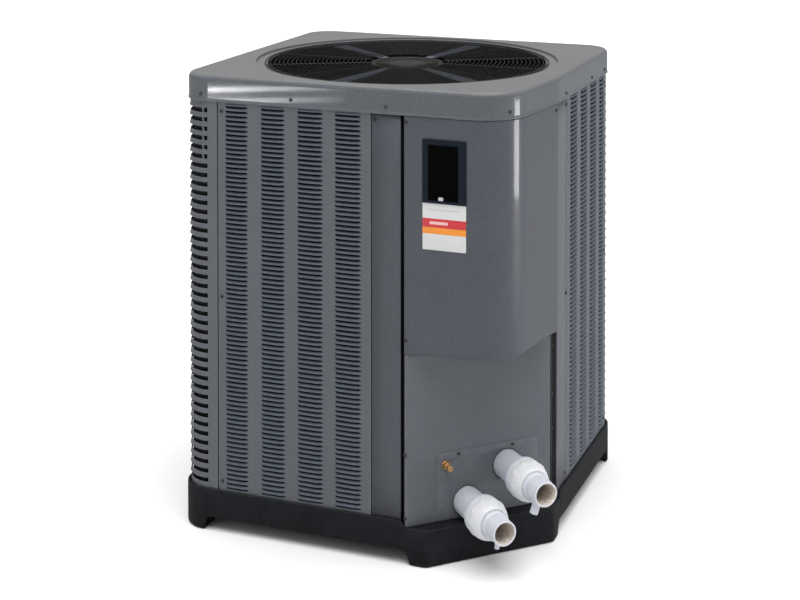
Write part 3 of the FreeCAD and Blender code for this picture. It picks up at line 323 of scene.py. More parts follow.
# =====================================================================  mesh helpers (millimetres in, metres out)
class Mesh:
    def __init__(self):
        self.v, self.f = [], []

    def add(self, verts, faces):
        o = len(self.v)
        self.v += verts
        self.f += [tuple(i + o for i in f) for f in faces]

    def rings(self, loops, closed=True, join=False, cap0=False, cap1=False):
        """quads between loops of equal length; closed: each loop is closed; join: last loop meets the first"""
        n = len(loops[0])
        verts = [p for l in loops for p in l]
        faces = []
        m = len(loops)
        for j in range(m if join else m - 1):
            a, b = j * n, ((j + 1) % m) * n
            for i in range(n if closed else n - 1):
                k = (i + 1) % n
                faces.append((a + i, a + k, b + k, b + i))
        if cap0:
            faces.append(tuple(range(n))[::-1])
        if cap1:
            faces.append(tuple((m - 1) * n + i for i in range(n)))
        self.add(verts, faces)

    def box(self, x0, y0, z0, x1, y1, z1):
        v = [(x, y, z) for x in (x0, x1) for y in (y0, y1) for z in (z0, z1)]
        self.add(v, [(0, 1, 3, 2), (4, 6, 7, 5), (0, 4, 5, 1), (2, 3, 7, 6), (0, 2, 6, 4), (1, 5, 7, 3)])

    def obj(self, name, mat, body='casing', replaces=(), slot=None, angle=32, solidify=None, offset=-1, bevel=None, bevel_seg=2, recalc=True, merge=True, form=None, mat2=None, mat2_test=None):
        me = bpy.data.meshes.new(name)
        me.from_pydata([((x + OX) * MM, (y + OY) * MM, z * MM) for x, y, z in self.v], [], self.f)
        bm = bmesh.new()
        bm.from_mesh(me)
        if merge:
            bmesh.ops.remove_doubles(bm, verts=bm.verts, dist=1e-6)
        if recalc:
            bmesh.ops.recalc_face_normals(bm, faces=bm.faces)
        bm.to_mesh(me)
        bm.free()
        me.materials.append(mat)
        if mat2:
            me.materials.append(mat2)
            for pl in me.polygons:
                c = pl.center
                if mat2_test(c.x / MM - OX, c.y / MM - OY, c.z / MM):
                    pl.material_index = 1
        if form:
            at = me.attributes.new('form', 'FLOAT', 'POINT')
            at.data.foreach_set('value', form)
        o = bpy.data.objects.new(name, me)
        scene.collection.objects.link(o)
        if solidify:
            s = o.modifiers.new('Solidify', 'SOLIDIFY')
            s.thickness = solidify * MM
            s.offset = offset
            s.use_even_offset = False
        if bevel:
            b = o.modifiers.new('Bevel', 'BEVEL')
            b.width = bevel * MM
            b.segments = bevel_seg
            b.limit_method = 'ANGLE'
            b.angle_limit = math.radians(40)
            b.harden_normals = False
        me.shade_smooth()
        me.set_sharp_from_angle(angle=math.radians(angle))
        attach(o, body)
        if replaces:
            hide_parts(*replaces)
        return o


def smooth(a, b, x):
    if a == b:
        return 1.0 if x >= b else 0.0
    t = max(0.0, min(1.0, (x - a) / (b - a)))
    return t * t * (3 - 2 * t)


def outline(pts, radii, seg=14, step=14.0, closed=True):
    """points and outward normals (x, y, nx, ny) along a counter-clockwise outline with rounded corners"""
    n = len(pts)
    out = []
    ends = []
    for i in range(n):
        b = Vector(pts[i])
        if not closed and i in (0, n - 1):
            ends.append((b, b, None, 0))
            continue
        a, c = Vector(pts[i - 1]), Vector(pts[(i + 1) % n])
        u, w = (a - b).normalized(), (c - b).normalized()
        ang = u.angle(w)
        r = max(radii[i], 0.01)
        t = r / math.tan(ang / 2)
        bis = (u + w).normalized()
        cen = b + bis * (r / math.sin(ang / 2))
        ends.append((b + u * t, b + w * t, cen, r))
    for i in range(n):
        s, e, cen, r = ends[i]
        if cen is not None:
            v0, v1 = s - cen, e - cen
            a0 = math.atan2(v0.y, v0.x)
            da = math.atan2(v1.y, v1.x) - a0
            while da > math.pi:
                da -= 2 * math.pi
            while da < -math.pi:
                da += 2 * math.pi
            sg = 1.0 if da > 0 else -1.0
            k = max(2, int(seg * max(0.35, abs(da) / (math.pi / 2))))
            for j in range(k + 1):
                a = a0 + da * j / k
                out.append((cen.x + r * math.cos(a), cen.y + r * math.sin(a), sg * math.cos(a), sg * math.sin(a)))
        else:
            q = Vector(pts[1]) - Vector(pts[0]) if i == 0 else Vector(pts[-1]) - Vector(pts[-2])
            q.normalize()
            out.append((s.x, s.y, q.y, -q.x))
        if i < n - 1 or closed:
            nx = ends[(i + 1) % n][0]
            d = nx - e
            L = d.length
            if L > 1e-6:
                q = d / L
                m = max(1, int(L / step))
                for j in range(1, m):
                    p = e + d * (j / m)
                    out.append((p.x, p.y, q.y, -q.x))
    return out


def loop_at(ol, off, z):
    """the outline pulled in by off at height z; either may be a function of (x, y)"""
    r = []
    for x, y, nx, ny in ol:
        o = off(x, y) if callable(off) else off
        h = z(x, y) if callable(z) else z
        r.append((x - nx * o, y - ny * o, h))
    return r


def circle(r, z, n=None, angles=None):
    if angles is None:
        angles = [2 * math.pi * i / n for i in range(n)]
    return [(r * math.cos(a), r * math.sin(a), z) for a in angles]


def arc_levels(o0, z0, o1, z1, k=6, convex=True):
    """(offset, z) pairs along a quarter round from (o0, z0) to (o1, z1)"""
    res = []
    for i in range(k + 1):
        a = math.pi / 2 * i / k
        if convex:
            res.append((o0 + (o1 - o0) * (1 - math.cos(a)), z0 + (z1 - z0) * math.sin(a)))
        else:
            res.append((o0 + (o1 - o0) * math.sin(a), z0 + (z1 - z0) * (1 - math.cos(a))))
    return res


def plan_sheet(mesh, path, z0, z1, bottom=None):
    """a folded sheet: path points (x, y) extruded in z"""
    rows = []
    n = max(2, int((z1 - z0) / 120))
    for k in range(n + 1):
        z = z0 + (z1 - z0) * k / n
        rows.append([(x, y, z) for x, y, _, _ in path])
    mesh.rings(rows, closed=False)


# =====================================================================  chamfer frame
CH = 292.0
A0 = Vector((HW - CH, -HD, 0))
D = Vector((R2, -R2, 0))
S = Vector((R2, R2, 0))
K = HW + HD - CH
CLEN = CH * math.sqrt(2)
PIPE_S = {'in': 160.0, 'out': 270.0}
PIPE_Z = {'in': 128.0, 'out': 202.0}


def ch_pt(s, t, z):
    q = A0 + S * s + D * t
    return (q.x, q.y, z)


def lathe(mesh, prof, o, d, seg=64, mod=None, closed=True):
    """turned form from closed (r, t) profile round the axis o + t d"""
    d = Vector(d).normalized()
    up = Vector((0, 0, 1)) if abs(d.z) < 0.9 else Vector((1, 0, 0))
    e1 = d.cross(up).normalized()
    e2 = d.cross(e1).normalized()
    loops = []
    for r, t in prof:
        l = []
        for i in range(seg):
            a = 2 * math.pi * i / seg
            rr = r + (mod(a, r, t) if mod else 0.0)
            p = Vector(o) + d * t + e1 * (rr * math.cos(a)) + e2 * (rr * math.sin(a))
            l.append((p.x, p.y, p.z))
        loops.append(l)
    mesh.rings(loops, join=closed)


def rounded_profile(pts, r=1.0, k=3):
    """closed (r, t) polygon with each corner rounded"""
    out = []
    n = len(pts)
    for i in range(n):
        b = Vector(pts[i][:2])
        rad = pts[i][2] if len(pts[i]) > 2 else r
        a, c = Vector(pts[i - 1][:2]), Vector(pts[(i + 1) % n][:2])
        la, lc = (a - b).length, (c - b).length
        if rad <= 0 or la < 1e-6 or lc < 1e-6:
            out.append((b.x, b.y))
            continue
        u, w = (a - b).normalized(), (c - b).normalized()
        ang = u.angle(w)
        if ang > math.pi - 0.05:
            out.append((b.x, b.y))
            continue
        t = min(rad / math.tan(ang / 2), la * 0.45, lc * 0.45)
        s, e = b + u * t, b + w * t
        for j in range(k + 1):
            q = j / k
            p = s * (1 - q) ** 2 + b * 2 * q * (1 - q) + e * q ** 2
            out.append((p.x, p.y))
    return out


# =====================================================================  base pan
pw, pd = HW + 8, HD + 8
PC = 248.0
pan_ol = outline([(-pw, -pd), (pw - PC, -pd), (pw, -pd + PC), (pw, pd), (-pw, pd)], [76, 20, 20, 76, 76], seg=16, step=9.0)


def zrim(x, y):
    return 106 - 16.5 * smooth(577, 592, x - y)


def zbot(x, y):
    def c(v):
        return max(0.0, min(1.0, v))
    f = 0.0
    for sx, sy in ((-1, -1), (-1, 1), (1, 1)):
        f = max(f, min(c((sx * x - 376) / 16), c((sy * y - 346) / 16)))
    f = max(f, min(c((x - 158) / 16), c((-132 - y) / 16)))
    return 33 - 33 * smooth(0, 1, f)


m = Mesh()
lv = [(7.2, 87.0), (7.0, 87.4), (7.0, lambda x, y: zrim(x, y) - 1.4), (6.5, lambda x, y: zrim(x, y) - 0.5), (5.5, zrim), (2.2, zrim),
      (1.1, lambda x, y: zrim(x, y) - 0.3), (0.3, lambda x, y: zrim(x, y) - 1.2), (0, lambda x, y: zrim(x, y) - 2.6),
      (0, lambda x, y: zbot(x, y) + 7), (0.5, lambda x, y: zbot(x, y) + 4), (2.0, lambda x, y: zbot(x, y) + 1.4), (4.5, lambda x, y: zbot(x, y) + 0.2),
      (6.2, lambda x, y: zbot(x, y)), (7.0, lambda x, y: zbot(x, y) + 1.0), (7.0, 79.0), (8.0, 78.6)]
m.rings([loop_at(pan_ol, o, z) for o, z in lv], cap0=True, cap1=True)
for sx, sy in ((-1, -1), (-1, 1), (1, 1)):
    p = [(sx * (pw - 3), sy * (pd - 3)), (sx * 388, sy * (pd - 3)), (sx * 388, sy * 358), (sx * (pw - 3), sy * 358)]
    rad = [73, 6, 14, 6]
    if sx * sy < 0:
        p = [p[0], p[3], p[2], p[1]]
        rad = [rad[0], rad[3], rad[2], rad[1]]
    ol = outline(p, rad, seg=10, step=60)
    m.rings([loop_at(ol, o, z) for o, z in ((0, 78.8), (0, 4), (1, 1), (3.5, 0.1))], cap0=True, cap1=True)
p = [(168, -pd + 3), (pw - PC - 1, -pd + 3), (pw - 3, -pd + PC + 1), (pw - 3, -142), (418, -142), (168, -392)]
ol = outline(p, [5, 18, 18, 5, 8, 8], seg=8, step=60)
m.rings([loop_at(ol, o, z) for o, z in ((0, 78.8), (0, 4), (1, 1), (3.5, 0.1))], cap0=True, cap1=True)
for a in ((-pw + 8, -4, 50, pw - 8, 4, 79), (-204, -pd + 8, 50, -196, pd - 8, 79), (196, -392, 50, 204, pd - 8, 79)):
    m.box(*a)
m.obj('base_pan_moulding', M['pan'], replaces=['base_pan'], slot='pan_plastic', angle=38)

# =====================================================================  top cover with dish and shroud
cw, cd = HW + 4, HD + 4
TAPER = 0.1281
vx = cw - TAPER * (cd - 130)
cov_ol = outline([(-cw, -cd), (vx, -cd), (cw, -130), (cw, cd), (-cw, cd)], [76, 114, 300, 76, 76], seg=20, step=11.0)
angs = [math.atan2(y - ny * 12, x - nx * 12) for x, y, nx, ny in cov_ol]
m = Mesh()
loops = []
for o, z in [(2.0, 1093.4), (1.5, 1092.9), (0.4, 1092.8), (-0.9, 1093.3), (-1.3, 1094.6), (-1.2, 1096.4), (-0.5, 1098.2), (0.0, 1100.0), (0.0, 1100.6), (0.0, 1124.0), (0.0, 1145.3)] + arc_levels(0, 1146, 13, 1160, 9):
    loops.append(loop_at(cov_ol, o, z))
for r, z in [(405.6, 1160.0), (404.2, 1159.7), (403.0, 1158.9), (402.2, 1157.6), (402.0, 1155.0), (401.4, 1153.2), (400.2, 1152.3), (398.5, 1152.0),
             (376.0, 1152.0), (374.0, 1151.6), (372.6, 1150.4), (372.0, 1148.5), (372.0, 1041.5), (372.4, 1040.4), (373.2, 1040.0), (374.0, 1040.6),
             (374.0, 1149.4), (404.0, 1149.4), (404.6, 1152), (405.8, 1158.0)]:
    loops.append(circle(r, z, angles=angs))
for o, z in [(14, 1158.0), (9, 1157.4), (5, 1154.4), (2.6, 1150), (2.0, 1144), (2.0, 1100)]:
    loops.append(loop_at(cov_ol, o, z))
m.rings(loops, join=True)
# the orifice wall below the dish takes the near-black painted shade (mat2)
m.obj('top_cover_pressing', M['cover'], replaces=['top_cover'], slot='cover_paint', angle=35, mat2=M['shroud'], mat2_test=lambda x, y, z: math.hypot(x, y) < 375.5 and z < 1151.0)

# =====================================================================  fan guard, bracket, motor, fan
m = Mesh()


def torus(mesh, R, z, r=1.6, n=128, k=6):
    loops = []
    for j in range(k):
        b = 2 * math.pi * j / k
        loops.append(circle(R + r * math.cos(b), z + r * math.sin(b), n))
    mesh.rings(loops, join=True)


for i in range(23):
    torus(m, 112 + 11.5 * i, 1153.6, 0.8, 144, 6)
torus(m, 378.5, 1154.0, 1.6, 160, 8)
torus(m, 371.5, 1153.8, 1.2, 160, 6)


def bar(mesh, p, q, r, k=8, caps=True):
    p, q = Vector(p), Vector(q)
    d = (q - p).normalized()
    up = Vector((0, 0, 1)) if abs(d.z) < 0.9 else Vector((1, 0, 0))
    e1 = d.cross(up).normalized()
    e2 = d.cross(e1).normalized()
    loops = []
    for c in (p, q):
        loops.append([tuple(c + e1 * (r * math.cos(2 * math.pi * i / k)) + e2 * (r * math.sin(2 * math.pi * i / k))) for i in range(k)])
    mesh.rings(loops, cap0=caps, cap1=caps)


for k in range(12):
    a = math.radians(30 * k)
    bar(m, (100 * math.cos(a), 100 * math.sin(a), 1151.6), (378 * math.cos(a), 378 * math.sin(a), 1152.4), 1.1)
m.obj('fan_guard_wires', M['wire'], replaces=['fan_guard'], slot='guard_wire', angle=60)

m = Mesh()
lathe(m, rounded_profile([(0.5, 1148.6, 0), (47, 1148.6, 1.5), (50, 1146.8, 1.5), (84, 1146.8, 2), (88, 1149.8, 2), (97, 1149.8, 1.2), (98, 1146.2, 0.6), (94, 1145.6, .6), (0.5, 1145.6, 0)], 1, 3), (0, 0, 0), (0, 0, 1), 72)
for deg in (142, 80, -100, -40):
    a = math.radians(deg)
    c, s = math.cos(a), math.sin(a)
    rows = []
    for r, w, z in ((84, 11, 1147), (120, 12.5, 1147), (200, 16.5, 1147), (300, 21.5, 1147), (366, 25, 1147), (369.6, 25, 1146), (370.8, 25, 1143), (370.8, 25, 1106)):
        sec = []
        for u, dz in ((-1, -2.2), (-0.93, 0.0), (-0.82, 0.2), (0.82, 0.2), (0.93, 0.0), (1, -2.2)):
            if r < 367:
                sec.append((r * c - u * w * s, r * s + u * w * c, z + dz))
            else:
                th = a + u * w / 371.0
                rr = r - (0.0 if r < 370 else 0.0)
                sec.append((rr * math.cos(th), rr * math.sin(th), z + (dz if r < 370 else 0)))
        rows.append(sec)
    m.rings(rows, closed=False)
m.obj('motor_bracket_straps', M['strap'], replaces=['motor_bracket'], slot='strap_steel', angle=35, solidify=1.6, mat2=M['disc'], mat2_test=lambda x, y, z: math.hypot(x, y) < 99)

m = Mesh()
prof = [(6.5, 1066.5, 0), (24, 1066.5, 1), (26, 1070, 1), (58, 1070, 2), (72, 1076, 3), (72, 1086, 0.8), (71, 1087, 0.5), (71, 1092, 0.5), (72, 1093, 0.5), (72, 1122, 0.5), (71, 1123, 0.5),
        (71, 1128, 0.5), (72, 1129, 0.5), (72, 1138, 3), (62, 1145.4, 2), (6.5, 1145.4, 0)]
lathe(m, rounded_profile(prof, 1, 3), (0, 0, 0), (0, 0, 1), 64)
for k in range(4):
    a = math.radians(45 + 90 * k)
    bar(m, (74 * math.cos(a), 74 * math.sin(a), 1068), (74 * math.cos(a), 74 * math.sin(a), 1145), 2.4, 10)
m.obj('fan_motor_shell', M['motor'], replaces=['fan_motor'], slot='motor_paint')

m = Mesh()
lathe(m, rounded_profile([(6.4, 1020, 0.5), (44, 1020, 1), (50, 1024, 3), (50, 1046, 3), (44, 1050, 2), (22, 1050, 2), (20, 1058, 1), (6.4, 1058, 0.5)], 1, 3), (0, 0, 0), (0, 0, 1), 48)
bar(m, (19, 0, 1054), (26, 0, 1054), 3.0, 6)
m.obj('fan_hub_turned', M['steel'], body='fan_rotor', replaces=['fan_hub'], slot='shaft_steel')
m = Mesh()
for k in range(5):
    rot = math.radians(72 * k + 20)
    rows = []
    NR, NC = 14, 10
    for i in range(NR + 1):
        q = i / NR
        x = 47 + (347 - 47) * q
        chord = 62 + 92 * smooth(0, 0.75, q) - 26 * smooth(0.86, 1.0, q)
        pitch = math.radians(30 - 15 * q)
        sweep = 26 * math.sin(q * math.pi * 0.75)
        row = []
        for j in range(NC + 1):
            u = (j / NC - 0.5) * chord
            camber = 5.5 * (1 - (2 * j / NC - 1) ** 2)
            px_, py_, pz_ = x, sweep + u * math.cos(pitch), 1034 + u * math.sin(pitch) + camber * math.cos(pitch) - 3
            row.append((px_ * math.cos(rot) - py_ * math.sin(rot), px_ * math.sin(rot) + py_ * math.cos(rot), pz_))
        rows.append(row)
    m.rings(rows, closed=False)
# the blades carry the near-black painted shade of the orifice
m.obj('fan_blades_formed', M['blade'], body='fan_rotor', replaces=['fan_blades'], slot='blade_alu', solidify=1.8, offset=0, angle=50)


# =====================================================================  louvred panels
PITCH, SLOT, Z0, ROWS = 11.8, 5.2, 112.0, 83


def louvre_panel(name, node_name, place, u0, u1, cols):
    us = [u0, u0 + 2.5]
    col_of = {}
    for a, b in cols:
        L = b - a
        st = [0, 0.8, 2.2, 4.5, 8, 14, L * 0.5, L - 20, L - 13, L - 8, L - 4, L - 1.2, L]
        for k, q in enumerate(st):
            us.append(a + q)
        us.append(b + 1.5)
    us += [u1 - 2.5, u1]
    us = sorted(set(round(u, 4) for u in us if u0 <= u <= u1))
    vs = [(87.0, 0, 0), (Z0 - 6.0, 0, 0), (Z0 - 3.4, 0, 1)]
    for i in range(ROWS):
        z = Z0 + i * PITCH
        vs += [(z, 1, 0), (z, 2, 1)]                 # lower and upper edge of the opening
        if i < ROWS - 1:
            vs += [(z + SLOT + 1.5, 3, 0.82), (z + SLOT + 4.2, 3, 0.36)]
    zt = Z0 + (ROWS - 1) * PITCH + SLOT
    vs += [(zt + 1.6, 3, 0.8), (zt + 4.4, 3, 0.3), (zt + 7.0, 0, 0), (1100.0, 0, 0)]
    OUT, INN = 4.6, -1.2

    def shape(u):
        for a, b in cols:
            if a < u < b:
                return smooth(0, 5.5, u - a) * smooth(0, 15, b - u), smooth(-0.5, 1.6, u - a) * smooth(0, 7.0, b - u)
        return 0.0, 0.0
    f = [shape(u) for u in us]
    mesh = Mesh()
    verts, form = [], []
    for z, kind, h in vs:
        for u, (bow, gap) in zip(us, f):
            zz, n = z, 0.0
            # form marks the bowed blades; the louvre material darkens them with it, part grime, part painted shade
            form.append(bow if kind else 0.0)
            if kind == 1:          # top edge of the strip below
                n = INN * bow
            elif kind == 2:        # bottom edge of the strip above
                zz = z + 0.35 + (SLOT - 0.35) * gap
                n = OUT * bow
            elif kind == 3:
                n = (INN + (OUT - INN) * h) * bow
            elif h:
                n = 0.0
            verts.append(place(u, n, zz))
    nu = len(us)
    faces = []
    for j in range(len(vs) - 1):
        opening = vs[j][1] == 1 and vs[j + 1][1] == 2
        for i in range(nu - 1):
            if opening:
                mid = (us[i] + us[i + 1]) / 2
                if any(a + 0.5 < mid < b - 1.0 for a, b in cols):
                    continue
            q = j * nu + i
            faces.append((q, q + 1, q + nu + 1, q + nu))
    mesh.add(verts, faces)
    return mesh.obj(name, M['louvre'], replaces=[node_name], slot='casing_paint', solidify=1.1, offset=-1, angle=28, recalc=False, merge=False, form=form)


louvre_panel('front_louvres', 'louver_panel_front', lambda u, n, z: (u, -HD - n, z), -347.8, 68.6, [(-327, -263), (-228, -161), (-128, -58), (-27, 44)])
louvre_panel('right_louvres', 'louver_panel_right', lambda u, n, z: (HW + n, u, z), -41.4, 349.0, [(-9, 61), (93, 161), (190, 259), (287, 338)])
louvre_panel('back_louvres', 'louver_panel_back', lambda u, n, z: (-u, HD + n, z), -347.8, 347.8, [(-335 + 100.5 * i, -268 + 100.5 * i) for i in range(7)])
louvre_panel('left_louvres', 'louver_panel_left', lambda u, n, z: (-HW - n, -u, z), -315.8, 315.8, [(-296 + 105 * i, -229 + 105 * i) for i in range(6)])


# =====================================================================  corner guards with large wrapped slots
def corner_guard(name, node_name, sx, sy, leg_x, leg_y, slot_x, slot_y):
    R = 72.0
    path = [(-HW + leg_x, -HD), (-HW + leg_x - 1.2, -HD)]
    xs = sorted({-HW + slot_x + 4, -HW + slot_x + 1.2, -HW + slot_x - 1.0, -HW + 66.5, -HW + 61.5}, reverse=True)
    pts = [(x, -HD, 0, -1) for x in [-HW + leg_x - 0.5, -HW + leg_x - 2.5] + xs if x > -HW + R - 0.0]
    arc = []
    for k in range(0, 25):
        a = math.radians(-90 - 90 * k / 24)
        arc.append((-HW + R + R * math.cos(a), -HD + R + R * math.sin(a), math.cos(a), math.sin(a)))
    ys = sorted({slot_y + 4, slot_y + 1.2, slot_y - 1.0}, reverse=False)
    tail = [(-HW, -HD + y, -1, 0) for y in ys if R + 0.5 < y < leg_y - 3] + [(-HW, -HD + leg_y - 2.5, -1, 0), (-HW, -HD + leg_y - 0.5, -1, 0)]
    pts = pts + arc + (tail if leg_y > R + 3 else [])
    vs = [(87.0, 0, 0), (112.0, 0, 0)]
    for i in range(41):
        z = 120 + i * 23.6
        vs += [(z - 2.2, 1, 0.0), (z - 0.4, 1, -0.5), (z + 11.2, 2, 0.8), (z + 12.8, 1, 0.6), (z + 17.0, 1, 0.12)]
    vs += [(1097, 0, 0), (1100, 0, 0)]

    def inside(x, y):
        return x < -HW + slot_x and y < -HD + slot_y
    mesh = Mesh()
    verts = []
    for z, kind, h in vs:
        for x, y, nx, ny in pts:
            e = smooth(0, 9, -HW + slot_x - x) * smooth(0, 9, -HD + slot_y - y)
            n = 2.6 * h * e
            verts.append((sx * (x + nx * n) * 1.0, sy * (y + ny * n), z))
    nu = len(pts)
    faces = []
    for j in range(len(vs) - 1):
        opening = vs[j + 1][1] == 2
        top_rows = vs[j][0] > 120 + 35 * 23.6 - 5
        for i in range(nu - 1):
            mx, my = (pts[i][0] + pts[i + 1][0]) / 2, (pts[i][1] + pts[i + 1][1]) / 2
            if opening and inside(mx, my):
                if not (top_rows and -HW + 60.5 < mx < -HW + 66.6 and my < -HD + 2):
                    continue
            q = j * nu + i
            faces.append((q, q + 1, q + nu + 1, q + nu) if sx * sy < 0 else (q + 1, q, q + nu, q + nu + 1))
    mesh.add(verts, faces)
    return mesh.obj(name, M['paint'], replaces=[node_name], slot='casing_paint', solidify=1.6, offset=-1, angle=28, recalc=False, merge=False)


corner_guard('guard_front_left', 'corner_guard_front_left', 1, 1, 105, 105, 78, 78)
corner_guard('guard_back_left', 'corner_guard_back_left', 1, -1, 105, 105, 78, 78)
corner_guard('guard_back_right', 'corner_guard_back_right', -1, -1, 105, 72, 78, 60)

# =====================================================================  plain posts
m = Mesh()
ol = outline([(71, -HD), (146, -HD), (146, -HD + 12.8), (163.5, -HD + 12.8)], [0, 2.5, 1.5, 0], seg=6, step=40, closed=False)
plan_sheet(m, ol, 87.2, 1100)
# the recessed return (mat2) is near-black painted shade
m.obj('front_post', M['post'], replaces=['post_front'], slot='casing_paint', solidify=1.4, offset=-1, mat2=M['recess'], mat2_test=lambda x, y, z: y > -HD + 3.5)
m = Mesh()
ol = outline([(HW - 12.4, -140.8), (HW - 12.4, -127), (HW, -127), (HW, -44)], [0, 1.5, 2.5, 0], seg=6, step=40, closed=False)
plan_sheet(m, ol, 87.2, 1100)
# the recessed return (mat2) is dark grey painted shade
m.obj('right_post', M['paint'], replaces=['post_right'], slot='casing_paint', solidify=1.4, offset=-1, mat2=M['recess2'], mat2_test=lambda x, y, z: x < HW - 3.5)

# =====================================================================  control cover
cy, cx = -HD - 2, HW + 2
vx2 = cx - TAPER * (-cy - 130)
path = outline([(155.5, cy + 9), (155.5, cy), (vx2, cy), (cx, -130), (cx - 12, -128.5)], [0, 2.2, 112, 2.2, 0], seg=22, step=26, closed=False)
# straight front: exact columns at the window's edges
flat = [q for q in path if abs(q[1] - cy) < 1e-3 and q[3] < -0.999]
xmax = max(q[0] for q in flat)
keep_before = path[:path.index(flat[0])]
keep_after = path[path.index(flat[-1]) + 1:]
XS = [flat[0][0], 160, 168, 184, 200, 215.2, 216.4, 222, 240, 256, 272, 290, 295.6, 296.8, 306, flat[-1][0]]
path = keep_before + [(x, cy, 0, -1) for x in XS] + keep_after
ZS = [1092, 1089.5, 1078, 1060, 1045, 1030, 1028.8, 1010, 980, 950, 920, 892, 890.2, 870, 830, 780, 730, 680, 630, 590, 565, 548]
ZB = 514.0


def depth(x, y):
    """distance from the access panel's plane"""
    return max(0.0, (x - y - K) * R2)


rows = []
for z in ZS:
    rows.append([(x, y, z) for x, y, _, _ in path])
NB = 8
for k in range(NB + 1):
    a = math.pi / 2 * k / NB
    row = []
    for x, y, nx, ny in path:
        d = depth(x, y)
        r = min(15.0, d * 0.42 + 1.2)
        inn = r * (1 - math.cos(a))
        row.append((x - R2 * inn, y + R2 * inn, ZB + r * (1 - math.sin(a))))
    rows.append(row)
row = []
for x, y, nx, ny in path:
    d = depth(x, y)
    r = min(15.0, d * 0.42 + 1.2)
    t = max(d - 1.0, r)
    row.append((x - R2 * t, y + R2 * t, ZB - 1.5 * smooth(0, 60, d)))
mid = []
for x, y, nx, ny in path:
    d = depth(x, y)
    r = min(15.0, d * 0.42 + 1.2)
    t = (r + max(d - 1.0, r)) / 2
    mid.append((x - R2 * t, y + R2 * t, ZB - 0.4 * smooth(0, 60, d)))
rows += [mid, row]
m = Mesh()
nu = len(path)
verts = [p for r in rows for p in r]
faces = []
for j in range(len(rows) - 1):
    for i in range(nu - 1):
        xm = (path[i][0] + path[i + 1][0]) / 2
        if j < len(ZS) - 1 and abs(path[i][1] - cy) < 1e-3 and abs(path[i + 1][1] - cy) < 1e-3:
            zm = (ZS[j] + ZS[j + 1]) / 2
            if 215.5 < xm < 296.5 and 890.5 < zm < 1029.5:
                continue
        q = j * nu + i
        faces.append((q, q + nu, q + nu + 1, q + 1))
m.add(verts, faces)
m.obj('control_cover_shell', M['ctrl'], replaces=['control_cover'], slot='casing_paint', solidify=2.0, offset=-1, angle=35, recalc=False)

# =====================================================================  access panel and plumbing plate
m = Mesh()
e = A0 + S * (CLEN - 18)
i1 = e - D * 12
ol = outline([(156.0, -HD), (A0.x, A0.y), (e.x, e.y), (i1.x, i1.y)], [0, 3.0, 2.0, 0], seg=6, step=20, closed=False)
rows = []
for z in (87.4, 92, 120, 150, 180, 210, 240, 244, 250, 300, 350, 400, 450, 500, 514.6):
    rows.append([(x, y, z) for x, y, _, _ in ol])
verts = [p for r in rows for p in r]
nu = len(ol)
faces = []
zl = [87.4, 92, 120, 150, 180, 210, 240, 244, 250, 300, 350, 400, 450, 500, 514.6]
for j in range(len(rows) - 1):
    for i in range(nu - 1):
        xm, ym = (ol[i][0] + ol[i + 1][0]) / 2, (ol[i][1] + ol[i + 1][1]) / 2
        s = ((xm - A0.x) + (ym - A0.y)) * R2
        on = abs((xm - ym) - K) < 1.0
        if on and 95 < s < 340 and zl[j + 1] <= 244.5:
            continue
        q = j * nu + i
        faces.append((q, q + 1, q + nu + 1, q + nu))
m.add(verts, faces)
m.obj('access_panel_sheet', M['paint'], replaces=['access_panel'], slot='casing_paint', solidify=1.4, offset=-1, recalc=False)


def flat_plate(name, outer, holes, frame_fn, thick, mat, replaces, bevel=0.25, body='casing'):
    """flat plate with round holes, from a filled 2-D curve; frame_fn maps (u, v, w) to the row frame"""
    cu = bpy.data.curves.new(name + '_c', 'CURVE')
    cu.dimensions = '2D'
    cu.fill_mode = 'BOTH'
    cu.extrude = (thick / 2 - bevel) * MM
    cu.bevel_depth = bevel * MM
    cu.bevel_resolution = 1
    cu.resolution_u = 1

    def spline(pts):
        s = cu.splines.new('POLY')
        s.points.add(len(pts) - 1)
        for p, (u, v) in zip(s.points, pts):
            p.co = (u * MM, v * MM, 0, 1)
        s.use_cyclic_u = True
    spline(outer)
    for hu, hv, hr in holes:
        spline([(hu + hr * math.cos(2 * math.pi * k / 64), hv + hr * math.sin(2 * math.pi * k / 64)) for k in range(64)])
    tmp = bpy.data.objects.new(name + '_tmp', cu)
    scene.collection.objects.link(tmp)
    bpy.context.view_layer.update()
    me = bpy.data.meshes.new_from_object(tmp.evaluated_get(bpy.context.evaluated_depsgraph_get()))
    bpy.data.objects.remove(tmp)
    for v in me.vertices:
        u, w, n = v.co.x / MM, v.co.y / MM, v.co.z / MM
        p = frame_fn(u, w, n + thick / 2)
        v.co = ((p[0] + OX) * MM, (p[1] + OY) * MM, p[2] * MM)
    me.name = name
    bm = bmesh.new()
    bm.from_mesh(me)
    bmesh.ops.remove_doubles(bm, verts=bm.verts, dist=1e-6)
    bmesh.ops.recalc_face_normals(bm, faces=bm.faces)
    bm.to_mesh(me)
    bm.free()
    me.materials.clear()
    me.materials.append(mat)
    o = bpy.data.objects.new(name, me)
    scene.collection.objects.link(o)
    me.shade_smooth()
    me.set_sharp_from_angle(angle=math.radians(30))
    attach(o, body)
    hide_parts(*replaces)
    return o


flat_plate('plumbing_plate_sheet', [(q[0], q[1]) for q in outline([(78, 90), (357, 90), (357, 257), (78, 257)], [4] * 4, seg=4, step=400)],
           [(160, 128, 40.0), (270, 202, 40.0), (102, 226, 9.2)], lambda u, v, w: ch_pt(u, w + 0.05, v), 1.5, M['paint'], ['plumbing_plate'])

# =====================================================================  water unions
PLUG = {'in': (6.0, 48.0, 6.0), 'out': (10.5, 56.0, 20.0)}
STUB_T0 = {'in': 181.0, 'out': 190.0}


def ax(side, t):
    q = A0 + S * PIPE_S[side] + D * t
    return Vector((q.x, q.y, PIPE_Z[side]))


